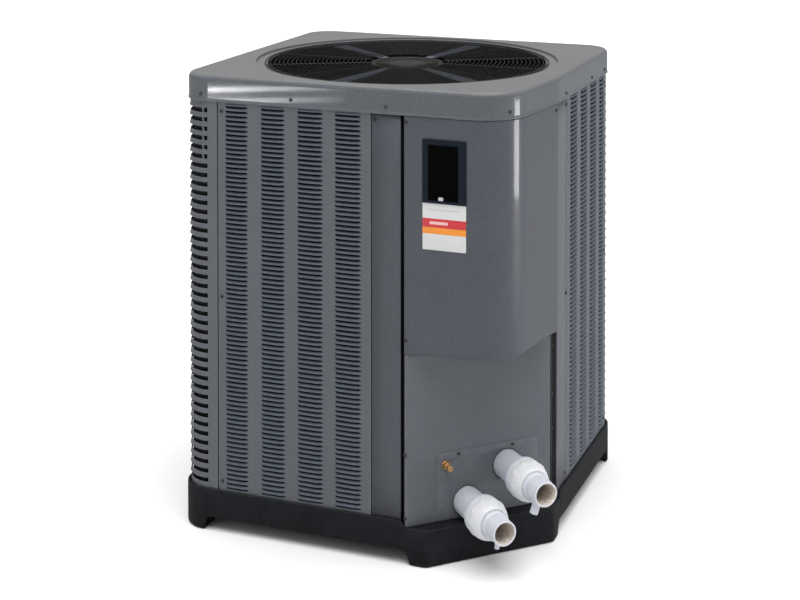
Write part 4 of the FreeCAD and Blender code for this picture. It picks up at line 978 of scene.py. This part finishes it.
mb, mt, ms, mg, mp = Mesh(), Mesh(), Mesh(), Mesh(), Mesh()
for side in ('in', 'out'):
    o = ax(side, 0)
    lathe(mb, rounded_profile([(29.6, -60, 0.6), (36.1, -60, 1), (36.1, 66, 10), (38.2, 73, 6), (45.4, 81, 5), (47.9, 86, 3), (47.9, 94.5, 2.5), (46.0, 97.8, 1), (43.0, 98, 0.4),
                               (43.0, 117, 1), (42, 118, 0.6), (25.6, 118, 0.6), (25.6, -25, 0.5), (29.6, -25, 0.5)], 1, 4), o, D, 72)
    for tr in (103.0, 107.0, 111.0, 115.0):
        lathe(mb, rounded_profile([(42.9, tr - 1.2, 0.1), (43.04, tr, 0.1), (42.9, tr + 1.2, 0.1)], 0.1, 1), o, D, 64)
    lathe(ms, rounded_profile([(28.2, 118.1, 0.6), (40, 118.1, 0.6), (40, 120.9, 0.6), (28.2, 120.9, 0.6)], 0.6, 3), o, D, 48)
    ts = STUB_T0[side]
    lathe(mt, rounded_profile([(25.5, 121.1, 0.5), (41.9, 121.1, 0.6), (41.9, 131, 0.8), (33.9, 131.2, 0.6), (33.9, 156.0, 2.0), (31.0, 159.8, 1.4), (31.0, ts - 0.2, 0.4), (30.15, ts, 0.3),
                               (30.15, 204.6, 1.0), (29.2, 205.8, 0.6), (26.4, 205.8, 0.5), (25.5, 204.5, 0.6)], 0.6, 4), o, D, 72)
    lathe(mg, rounded_profile([(36.3, -5.8, 0.8), (39.8, -5.8, 0.8), (39.8, 2.2, 1.2), (36.3, 2.2, 0.8)], 0.8, 3), o, D, 64)
    pr_, reach, lean = PLUG[side]
    l = math.radians(lean)
    down = Vector((-math.sin(l) * R2, -math.sin(l) * R2, -math.cos(l)))
    q = ax(side, 167.5 + pr_ + 0.5)
    lathe(mt, rounded_profile([(3.1, 28.5, 0), (pr_ + 1.6, 28.5, 0), (pr_ + 0.3, 31.5, 1.5), (pr_, 33, 1), (pr_, 37.6, 0.8), (3.1, 37.9, 0.3)], 0.6, 3), q, down, 40)
    mk = Mesh()

    def hexish(a, r, t, base=pr_):
        return 0.0 if r < base * 0.9 else base * (0.075 * (math.cos(6 * a)))
    lathe(mk, rounded_profile([(0.3, 28.5, 0), (3.0, 28.5, 0.3), (3.0, 38.2, 0.2), (pr_ * 0.92, 38.2, 0.8), (pr_ * 0.92, reach - 0.2, 1.4), (pr_ * 0.45, reach - 0.2, 0.8), (pr_ * 0.40, reach - 2.2, 0.4), (0.3, reach - 2.2, 0)], 0.6, 3), q, down, 36, mod=hexish)
    mk.obj('drain_plug_moulded_' + side, M['pvc'], body='drain_plug_' + side, replaces=['drain_plug_' + side], slot='pvc_white', angle=40)
    mn = Mesh()

    def flutes(a, r, t):
        if r < 47.6:
            return 0.0
        w = (math.cos(10 * a) + 1) / 2
        ridge = smooth(0.60, 0.9, w)
        return 1.4 * ridge * smooth(102.0, 105, t) * smooth(123, 118, t)
    prof = rounded_profile([(43.1, 99.2, 0.4), (47.0, 99.2, 0.8), (48.7, 101.2, 1.0), (48.7, 103, 0.2), (48.7, 106, 0.2), (48.7, 112, 0.2), (48.7, 117, 0.2), (48.6, 120.5, 3.0), (46.4, 131, 6), (42.0, 143, 6),
                            (37.6, 149.8, 1.6), (34.4, 149.8, 0.6), (34.4, 131.5, 0.4), (43.1, 131.5, 0.4)], 0.6, 4)
    lathe(mn, prof, o, D, 160, mod=flutes)
    mn.obj('union_nut_moulded_' + side, M['pvc2'], body='union_nut_' + side, replaces=['union_nut_' + side], slot='pvc_white', angle=32)
    # inner water pipe to the exchanger, ended square inside the casing
    lathe(mp, rounded_profile([(25.5, -172, 0.5), (29.5, -172, 0.5), (29.5, -25.2, 0.5), (25.5, -25.2, 0.5)], 0.5, 2), o, D, 56)
mb.obj('union_bodies_moulded', M['pvc'], replaces=['union_bodies'], slot='pvc_white')


def in_bore(x, y, z):
    for side in ('in', 'out'):
        r0 = Vector((x, y, z)) - ax(side, 0)
        if (r0 - D * r0.dot(D)).length < 26.3:
            return True
    return False


mt.obj('union_tails_moulded', M['pvc'], replaces=['union_tails'], slot='pvc_white', mat2=M['bore'], mat2_test=in_bore)
ms.obj('union_seal_rings', M['rubber'], replaces=['union_seals'], slot='rubber_black')
mg.obj('pipe_grommet_rings', M['rubber'], replaces=['pipe_grommets'], slot='rubber_black')
mp.obj('water_pipe_runs', M['pvc'], replaces=['water_pipes'], slot='pvc_white')

# brass fitting
m = Mesh()
bo = A0 + S * 102.0 + Vector((0, 0, 226.0))


def hexmod(a, r, t):
    if r < 7.5:
        return 0.0
    k = (a + math.pi / 6) % (math.pi / 3) - math.pi / 6
    return r * (0.90 / math.cos(k) - 0.965) * 0.9


lathe(m, rounded_profile([(0.2, -30, 0), (5.2, -30, 0.5), (5.2, 2.0, 0.2), (10.5, 2.0, 0.5), (10.5, 3.4, 0.5), (8.8, 3.6, 0.2), (8.8, 13.5, 1.0), (5.6, 14.0, 0.4), (5.6, 16, 0.2), (4.9, 16.4, 0.2), (4.9, 21.5, 0.2), (7.6, 22, 0.6),
                          (7.6, 29.5, 1.2), (4.0, 30.0, 0.5), (3.4, 28.6, 0.3), (0.2, 28.6, 0)], 0.4, 3), bo, D, 48, mod=hexmod)
m.obj('brass_fitting_turned', M['brass'], replaces=['brass_fitting'], slot='brass', angle=28)

# =====================================================================  display bezel, door, keypad, keys, label
m = Mesh()
# picture-frame bezel: outer loop to well, swept as matched rounded rectangles


def rrect(x0, z0, x1, z1, r, y, seg=5):
    pts = []
    for cx_, cz_, a0 in ((x1 - r, z1 - r, 0), (x0 + r, z1 - r, 90), (x0 + r, z0 + r, 180), (x1 - r, z0 + r, 270)):
        for k in range(seg + 1):
            a = math.radians(a0 + 90 * k / seg)
            pts.append((cx_ + r * math.cos(a), y, cz_ + r * math.sin(a)))
    return pts


bz = [(203, 887, 315, 1041, 3.0, -425.05), (203, 887, 315, 1041, 3.0, -427.2), (203.5, 887.5, 314.5, 1040.5, 2.8, -427.8), (204.6, 888.6, 313.4, 1039.4, 2.5, -428.0),
      (214.6, 890.8, 297.4, 1030.8, 3.0, -427.9), (216.8, 892.0, 295.2, 1028.6, 2.2, -427.2), (217.8, 892.8, 294.2, 1027.2, 1.6, -426.2), (218, 893, 294, 1027, 1.4, -424.8),
      (218, 893, 294, 1027, 1.4, -404), (215.5, 890.5, 296.5, 1029.5, 1.4, -404), (215.5, 890.5, 296.5, 1029.5, 1.4, -425.05)]
m.rings([rrect(*b) for b in bz], join=True)
m.obj('display_bezel_moulded', M['bezel'], replaces=['display_bezel'], slot='bezel_plastic', angle=35)

m = Mesh()
dz = [(218.9, 893.9, 293.1, 1026.0, 1.6, -424.8), (218.6, 893.6, 293.4, 1026.3, 2.0, -425.2), (218.6, 893.6, 293.4, 1026.3, 2.0, -426.7), (219.2, 894.2, 292.8, 1025.7, 1.8, -427.1), (220.5, 895.5, 291.5, 1024.4, 1.5, -427.2)]
m.rings([rrect(*b) for b in dz], cap0=True, cap1=True)
bar(m, (216.6, -426, 1023.5), (295.4, -426, 1023.5), 1.15, 14)
m.obj('display_door_moulded', M['door'], body='display_door', replaces=['display_door'], slot='smoked_glass', angle=35)
m = Mesh()
dz = [(245.5, 895.0, 257.0, 902.6, 1.6, -427.0), (245.2, 894.7, 257.3, 902.9, 1.8, -429.4), (245.9, 895.4, 256.6, 902.2, 1.6, -430.2), (247.4, 896.9, 255.1, 900.7, 1.0, -430.4)]
m.rings([rrect(*b) for b in dz], cap0=True, cap1=True)
M['tab'] = surface('door_tab', (0.42, 0.45, 0.48), rough=0.25, speck=0.05, bump=0.05, cloud=0.06, wear=0.2, dust=0.03, coat=0.3)
m.obj('door_finger_tab', M['tab'], body='display_door', slot='smoked_glass', angle=35)

KEYS = {'key_power': (238, 946), 'key_mode': (274, 946), 'key_down': (238, 920), 'key_up': (274, 920)}
# keypad face with raised key frames
m = Mesh()
m.rings([rrect(218.2, 893.2, 293.8, 1026.8, 1.3, -406), rrect(218.2, 893.2, 293.8, 1026.8, 1.3, -410.4), rrect(218.8, 893.8, 293.2, 1026.2, 1.2, -411.0)], cap0=True)
# face tiles around the openings
xs = [218.8, 224.0, 228.7, 247.3, 264.7, 283.3, 288.0, 293.2]
zs = [893.8, 913.7, 926.3, 939.7, 952.3, 968.0, 1010.0, 1026.2]


def hole(xm, zm):
    if 224 < xm < 288 and 968 < zm < 1010:
        return True
    return any(abs(xm - kx) < 9.3 and abs(zm - kz) < 6.3 for kx, kz in KEYS.values())


for i in range(len(xs) - 1):
    for j in range(len(zs) - 1):
        if not hole((xs[i] + xs[i + 1]) / 2, (zs[j] + zs[j + 1]) / 2):
            m.add([(xs[i], -411, zs[j]), (xs[i + 1], -411, zs[j]), (xs[i + 1], -411, zs[j + 1]), (xs[i], -411, zs[j + 1])], [(0, 1, 2, 3)])
for kx, kz in KEYS.values():
    m.rings([rrect(kx - 9.3, kz - 6.3, kx + 9.3, kz + 6.3, 0.6, y) for y in (-411.0, -406.2)])
    m.rings([rrect(kx - 12.3, kz - 9.3, kx + 12.3, kz + 9.3, 2.0, -411.0), rrect(kx - 11.7, kz - 8.7, kx + 11.7, kz + 8.7, 1.8, -411.7),
             rrect(kx - 9.9, kz - 6.9, kx + 9.9, kz + 6.9, 1.0, -411.7), rrect(kx - 9.3, kz - 6.3, kx + 9.3, kz + 6.3, 0.7, -411.0)])
m.rings([rrect(224, 968, 288, 1010, 0.6, y) for y in (-411.0, -408.5)], cap1=True)
m.rings([rrect(221, 965, 291, 1013, 2.4, -411.0), rrect(221.6, 965.6, 290.4, 1012.4, 2.2, -411.8), rrect(223.6, 967.6, 288.4, 1010.4, 1.0, -411.8), rrect(224.2, 968.2, 287.8, 1009.8, 0.8, -411.0)])
m.obj('keypad_face', M['keypad'], replaces=['keypad_body'], slot='bezel_plastic', angle=35)
m = Mesh()
m.rings([rrect(224.3, 968.3, 287.7, 1009.7, 0.5, -408.7), rrect(224.3, 968.3, 287.7, 1009.7, 0.5, -410.6), rrect(224.8, 968.8, 287.2, 1009.2, 0.5, -410.9)], cap0=True, cap1=True)
m.obj('lcd_window', M['screen'], replaces=['lcd_screen'], slot='screen_glass')
for name, (kx, kz) in KEYS.items():
    m = Mesh()
    m.rings([rrect(kx - 10.5, kz - 7.5, kx + 10.5, kz + 7.5, 0.8, -404.1), rrect(kx - 10.5, kz - 7.5, kx + 10.5, kz + 7.5, 0.8, -405.5), rrect(kx - 9, kz - 6, kx + 9, kz + 6, 1.2, -405.6),
             rrect(kx - 9, kz - 6, kx + 9, kz + 6, 1.2, -411.9), rrect(kx - 8.6, kz - 5.6, kx + 8.6, kz + 5.6, 1.2, -412.4), rrect(kx - 7.6, kz - 4.6, kx + 7.6, kz + 4.6, 1.0, -412.55),
             rrect(kx - 4.0, kz - 2.2, kx + 4.0, kz + 2.2, 0.8, -412.35)], cap0=True, cap1=True)
    m.obj(name + '_cap', M['key'], body=name, replaces=[name], slot='key_plastic', angle=40)
    g = Mesh()
    if name == 'key_up' or name == 'key_down':
        sgn = 1 if name == 'key_up' else -1
        tri = [(kx - 3.2, kz - 1.9 * sgn), (kx + 3.2, kz - 1.9 * sgn), (kx, kz + 2.4 * sgn)]
        if sgn < 0:
            tri = tri[::-1]
        g.rings([[(x, -412.2, z) for x, z in tri], [(x, -412.6, z) for x, z in tri]], cap0=True, cap1=True)
    elif name == 'key_power':
        g.rings([[(kx + r * math.cos(a), y, kz + r * math.sin(a)) for a in [2 * math.pi * k / 28 for k in range(28)]] for r, y in ((2.9, -412.2), (2.9, -412.6), (2.1, -412.6), (2.1, -412.2))], join=True)
    else:
        for dz_ in (-1.6, 0.0, 1.6):
            g.box(kx - 3, -412.6, kz + dz_ - 0.35, kx + 3, -412.2, kz + dz_ + 0.35)
    g.obj(name + '_mark', M['glyph'], body=name, slot='key_plastic')

m = Mesh()
m.rings([rrect(203.5, 774, 314, 886.5, 2.0, -425.02), rrect(203.5, 774, 314, 886.5, 2.0, -425.45), rrect(203.9, 774.4, 313.6, 886.1, 1.8, -425.6)], cap0=True, cap1=True)
m.obj('plain_label', M['label'], replaces=['label_plate'], slot='label_stock')

# =====================================================================  casing screws: hex washer heads
SCREWS = []


def screw(x, y, z, dx, dy):
    SCREWS.append((Vector((x, y, z)), Vector((dx, dy, 0)).normalized()))


for x in (-395, -144, 109):
    screw(x, -HD - 4, 1111, 0, -1)
for y in (-65, 192, 330):
    screw(HW + 4, y, 1107, 1, 0)
for x in (-330, 0, 330):
    screw(x, HD + 4, 1109, 0, 1)
for y in (-330, 0, 330):
    screw(-HW - 4, y, 1109, -1, 0)
_a = math.radians(-38)
_cy = -HD - 4 + 114.0
_cx = HW + 4 + TAPER * 130 - 114.0 * math.hypot(1, TAPER) + TAPER * _cy
screw(_cx + 114.0 * math.cos(_a), _cy + 114.0 * math.sin(_a), 1111, math.cos(_a), math.sin(_a))
screw(79, -HD, 1079, 0, -1)
screw(79, -HD, 127, 0, -1)
for y, z in ((-50, 1076), (-50, 590), (-56, 128)):
    screw(HW, y, z, 1, 0)
for z in (130, 600, 1070):
    screw(-338, HD, z, 0, 1)
    screw(338, HD, z, 0, 1)
    screw(-HW, -306, z, -1, 0)
    screw(-HW, 306, z, -1, 0)
    screw(-338, -HD, z, 0, -1)
    screw(HW, 343, z, 1, 0)
screw(160, -425, 1078, 0, -1)
screw(160, -425, 547, 0, -1)
screw(158, -HD, 265, 0, -1)
screw(158, -HD, 110, 0, -1)
for z in (480, 356, 267):
    screw(443, -134, z, 1, 0)
_n = Vector((1, -TAPER, 0)).normalized()
screw(457 - TAPER * 12, -142, 1076, _n.x, _n.y)
for s in (138, 287):
    q = A0 + S * s + D * 1.55
    screw(q.x, q.y, 249, D.x, D.y)
m = Mesh()
for p, d in SCREWS:
    def hexhead(a, r, t):
        if r > 3.9 or r < 2.4:
            return 0.0
        k = (a + math.pi / 6) % (math.pi / 3) - math.pi / 6
        return r * (0.90 / math.cos(k) - 0.95)
    lathe(m, [(0.1, -6.5), (1.85, -6.5), (1.85, 0.05), (4.5, 0.05), (4.7, 0.35), (4.5, 0.75), (3.9, 0.95), (3.5, 1.0), (3.5, 2.6), (3.1, 2.95), (2.5, 3.0), (2.2, 2.6), (0.1, 2.5)], p, d, 18, mod=hexhead)
m.obj('screw_heads', M['screw'], replaces=['casing_screws'], slot='screw_steel', angle=35)

# =====================================================================  air coil: folded fin pack round three corners
FIN = 3.4
m = Mesh()


def coil_line(off, r):
    x0, y0 = 448.0 - off, 416.0 - off
    ol_ = outline([(60, -y0), (-x0, -y0), (-x0, y0), (x0, y0), (x0, -35)], [0, r, r, r, 0], seg=14, step=40, closed=False)
    pts = [Vector((q[0], q[1], 0)) for q in ol_]
    return pts


mid_ = coil_line(11.0, 48.0)
seg_ = [0.0]
for a, b in zip(mid_, mid_[1:]):
    seg_.append(seg_[-1] + (b - a).length)
total = seg_[-1]
nf_ = int(total / FIN) * 2


def on_line(s):
    k = 0
    while k < len(seg_) - 2 and seg_[k + 1] < s:
        k += 1
    a, b = mid_[k], mid_[k + 1]
    q = (s - seg_[k]) / max(1e-6, seg_[k + 1] - seg_[k])
    d = (b - a).normalized()
    # blend the direction across the bend
    if q < 0.5 and k > 0:
        d = (d * (0.5 + q) + (mid_[k] - mid_[k - 1]).normalized() * (0.5 - q)).normalized()
    elif q >= 0.5 and k < len(seg_) - 2:
        d = (d * (1.5 - q) + (mid_[k + 2] - mid_[k + 1]).normalized() * (q - 0.5)).normalized()
    return a + (b - a) * q, Vector((-d.y, d.x, 0))


inner_w, outer_w = [], []
for i in range(nf_ + 1):
    p0, n0 = on_line(total * i / nf_)
    if n0.dot(Vector((p0.x, p0.y, 0))) < 0:
        n0 = -n0
    outer_w.append(p0 + n0 * (11.0 if i % 2 else 7.6))
    inner_w.append(p0 - n0 * (10.0 if i % 2 else 7.0))
ring = [(q.x, q.y) for q in outer_w] + [(q.x, q.y) for q in reversed(inner_w)]
m.rings([[(x, y, z) for x, y in ring] for z in (87.3, 320.0, 560.0, 800.0, 1089.8)])
nr_ = len(ring)
half = nr_ // 2
for i in range(half - 1):
    m.f.append((4 * nr_ + i, 4 * nr_ + i + 1, 5 * nr_ - 2 - i, 5 * nr_ - 1 - i))
    m.f.append((nr_ - 1 - i, nr_ - 2 - i, i + 1, i))
m.obj('air_coil_fins', M['fins'], replaces=['evaporator_coil'], slot='coil_fin', angle=20, merge=False)

# =====================================================================  materials for the carried-over nodes
KEEP = {
    'evaporator_coil': 'fins', 'compressor': 'black_enamel', 'compressor_bolts': 'zinc', 'compressor_grommets': 'rubber', 'accumulator': 'black_enamel',
    'filter_drier': 'copper', 'expansion_valve': 'brass', 'suction_line': 'copper', 'discharge_line': 'copper', 'liquid_line': 'copper', 'heat_exchanger_shell': 'shell',
    'heat_exchanger_coil': 'titan', 'water_pressure_switch': 'brass', 'control_box': 'zinc', 'contactor_body': 'phenolic', 'contactor_armature': 'phenolic',
    'run_capacitor': 'can', 'transformer': 'zinc', 'control_board': 'board', 'wiring_harness': 'loom', 'motor_shaft': 'steel',
}
for n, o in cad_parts.items():
    if o.hide_render:
        continue
    key = KEEP.get(n, 'paint')
    if not o.material_slots:
        o.data.materials.append(M[key])
    for s in o.material_slots:
        s.link = 'OBJECT'
        s.material = M[key]

# =====================================================================  stage, light, camera
def stage_plane(name, size, z, mat):
    me = bpy.data.meshes.new(name)
    s = size / 2
    me.from_pydata([(-s, -s, z), (s, -s, z), (s, s, z), (-s, s, z)], [], [(0, 1, 2, 3)])
    me.materials.append(mat)
    o = bpy.data.objects.new(name, me)
    scene.collection.objects.link(o)
    return o


fm = bpy.data.materials.new('pale_floor')
fm.use_nodes = True
b = fm.node_tree.nodes['Principled BSDF']
tcn = node(fm.node_tree, 'ShaderNodeTexCoord')
nf = noise(fm.node_tree, tcn.outputs['Object'], 3.0, 3.0)
cf = mix(fm.node_tree, nf, (0.84, 0.84, 0.835), (0.88, 0.88, 0.875))
# the floor shows near-black to glossy rays: a painted dark reflection that dims the floor's sheen on the cabinet
lpf = node(fm.node_tree, 'ShaderNodeLightPath')
cf = mix(fm.node_tree, mathn(fm.node_tree, 'MULTIPLY', lpf.outputs['Is Glossy Ray'], 0.62), cf, (0.02, 0.02, 0.02))
fm.node_tree.links.new(cf, b.inputs['Base Color'])
setin(b, 'Roughness', 0.9)
setin(b, 'Specular IOR Level', 0.1)
stage_plane('floor', 60.0, -0.0006, fm)

world = bpy.data.worlds.new('studio')
scene.world = world
world.use_nodes = True
wt = world.node_tree
bg = wt.nodes['Background']
lp = node(wt, 'ShaderNodeLightPath')
tcw = node(wt, 'ShaderNodeTexCoord')
sxw = node(wt, 'ShaderNodeSeparateXYZ')
wt.links.new(tcw.outputs['Generated'], sxw.inputs[0])
sky = ramp(wt, sxw.outputs['Z'], [(0.0, 0.30), (0.30, 0.34), (1.0, 0.62)])
colw = mix(wt, lp.outputs['Is Camera Ray'], sky, (1.0, 1.0, 1.0))
wt.links.new(colw, bg.inputs['Color'])
bg.inputs['Strength'].default_value = 1.0


def area(name, loc, target, size, power, size_y=None, color=(1, 1, 1)):
    l = bpy.data.lights.new(name, 'AREA')
    l.energy = power
    l.size = size
    if size_y:
        l.shape = 'RECTANGLE'
        l.size_y = size_y
    l.color = color
    o = bpy.data.objects.new(name, l)
    scene.collection.objects.link(o)
    o.location = loc
    o.rotation_mode = 'QUATERNION'
    o.rotation_quaternion = (Vector(target) - Vector(loc)).to_track_quat('-Z', 'Y')
    return o


sun = bpy.data.lights.new('top_sun', 'SUN')
sun.energy = 3.5
sun.angle = math.radians(64)
sun_o = bpy.data.objects.new('top_sun', sun)
scene.collection.objects.link(sun_o)
sun_o.rotation_mode = 'QUATERNION'
sun_o.rotation_quaternion = Vector((-0.10, 0.14, -1.0)).to_track_quat('-Z', 'Y')
area('front_soft', (-1.4, -4.2, 2.6), (0, 0, 0.6), 2.2, 12)
area('side_soft', (4.4, -1.2, 2.4), (0, 0, 0.6), 1.8, 6)


def strip_on(name, p, n, eye, dist, size, size_y, power):
    """a narrow light placed where its mirror image shows at point p with normal n"""
    p, n, eye = Vector(p), Vector(n).normalized(), Vector(eye)
    v = (p - eye).normalized()
    r = v - 2 * v.dot(n) * n
    return area(name, tuple(p + r * dist), tuple(p), size, power, size_y)


EYE = (math.sin(0.367) * 4.884 * 0.910 + OX * MM, -math.cos(0.367) * 4.884 * 0.910 + OY * MM, 2.0409 * 0.910)
_ph = math.radians(-27)
_c = (vx2 - 112 * math.tan(math.radians(45 - math.degrees(math.atan(TAPER)) / 2)), cy + 112)
strip_on('corner_strip', ((_c[0] + 112 * math.cos(_ph) + OX) * MM, (_c[1] + 112 * math.sin(_ph) + OY) * MM, 1.02),
         (math.cos(_ph), math.sin(_ph), 0), EYE, 3.0, 0.90, 0.40, 26)


def fade(o, stops):
    """light strength that falls off along the strip"""
    o.data.use_nodes = True
    nt = o.data.node_tree
    em = nt.nodes['Emission']
    geo = node(nt, 'ShaderNodeNewGeometry')
    sx = node(nt, 'ShaderNodeSeparateXYZ')
    nt.links.new(geo.outputs['Parametric'], sx.inputs[0])
    nt.links.new(ramp(nt, sx.outputs['X'], stops), em.inputs['Strength'])


for k_, (sx_, sz_, sl_, sh_, sw_) in enumerate(((-190, 1136, 0.62, 0.018, 2.7), (-190, 1107, 0.60, 0.020, 2.3), (-300, 1122, 0.26, 0.060, 0.60))):
    fade(strip_on('skirt_strip_%d' % k_, ((sx_ + OX) * MM, (-427 + OY) * MM, sz_ * MM), (0, -1, 0), EYE, 3.0, sl_, sh_, sw_), [(0.0, 1.0), (0.35, 0.62), (1.0, 0.03)])

# camera at the photograph's angle
W = 0.910
az, dist, zc, pitch, f_px, x0, y0 = 0.367, 4.884 * W, 2.0409 * W, 0.0265, 1664.3357, 407.0031, -157.6586
camd = bpy.data.cameras.new('camera')
cam = bpy.data.objects.new('camera', camd)
scene.collection.objects.link(cam)
scene.camera = cam
camd.sensor_width = 36.0
camd.lens = f_px * 36.0 / 800.0
cam.location = (math.sin(az) * dist + OX * MM, -math.cos(az) * dist + OY * MM, zc)
fw = Vector((-math.sin(az) * math.cos(pitch), math.cos(az) * math.cos(pitch), -math.sin(pitch)))
cam.rotation_mode = 'QUATERNION'
cam.rotation_quaternion = fw.to_track_quat('-Z', 'Y')
camd.clip_start, camd.clip_end = 0.05, 200.0


def shift_here(prop, value):
    """the lens shift holds only while the camera stands at this spot, so that other views are centred"""
    fc = camd.driver_add(prop)
    fc.driver.type = 'SUM'
    for _ in range(10):
        v = fc.driver.variables.new()
        v.type = 'TRANSFORMS'
        t = v.targets[0]
        t.id = cam
        t.transform_type = 'LOC_X'
        t.transform_space = 'WORLD_SPACE'
    for md in list(fc.modifiers):
        fc.modifiers.remove(md)
    x = 10 * cam.location.x
    for a, b_ in ((x - 0.06, 0.0), (x - 0.03, value), (x + 0.03, value), (x + 0.06, 0.0)):
        kp = fc.keyframe_points.insert(a, b_, options={'FAST'})
        kp.interpolation = 'LINEAR'
    fc.extrapolation = 'CONSTANT'
    fc.update()


shift_here('shift_x', (400.0 - x0) / 800.0)
shift_here('shift_y', (y0 - 300.0) / 800.0)
bpy.context.view_layer.update()
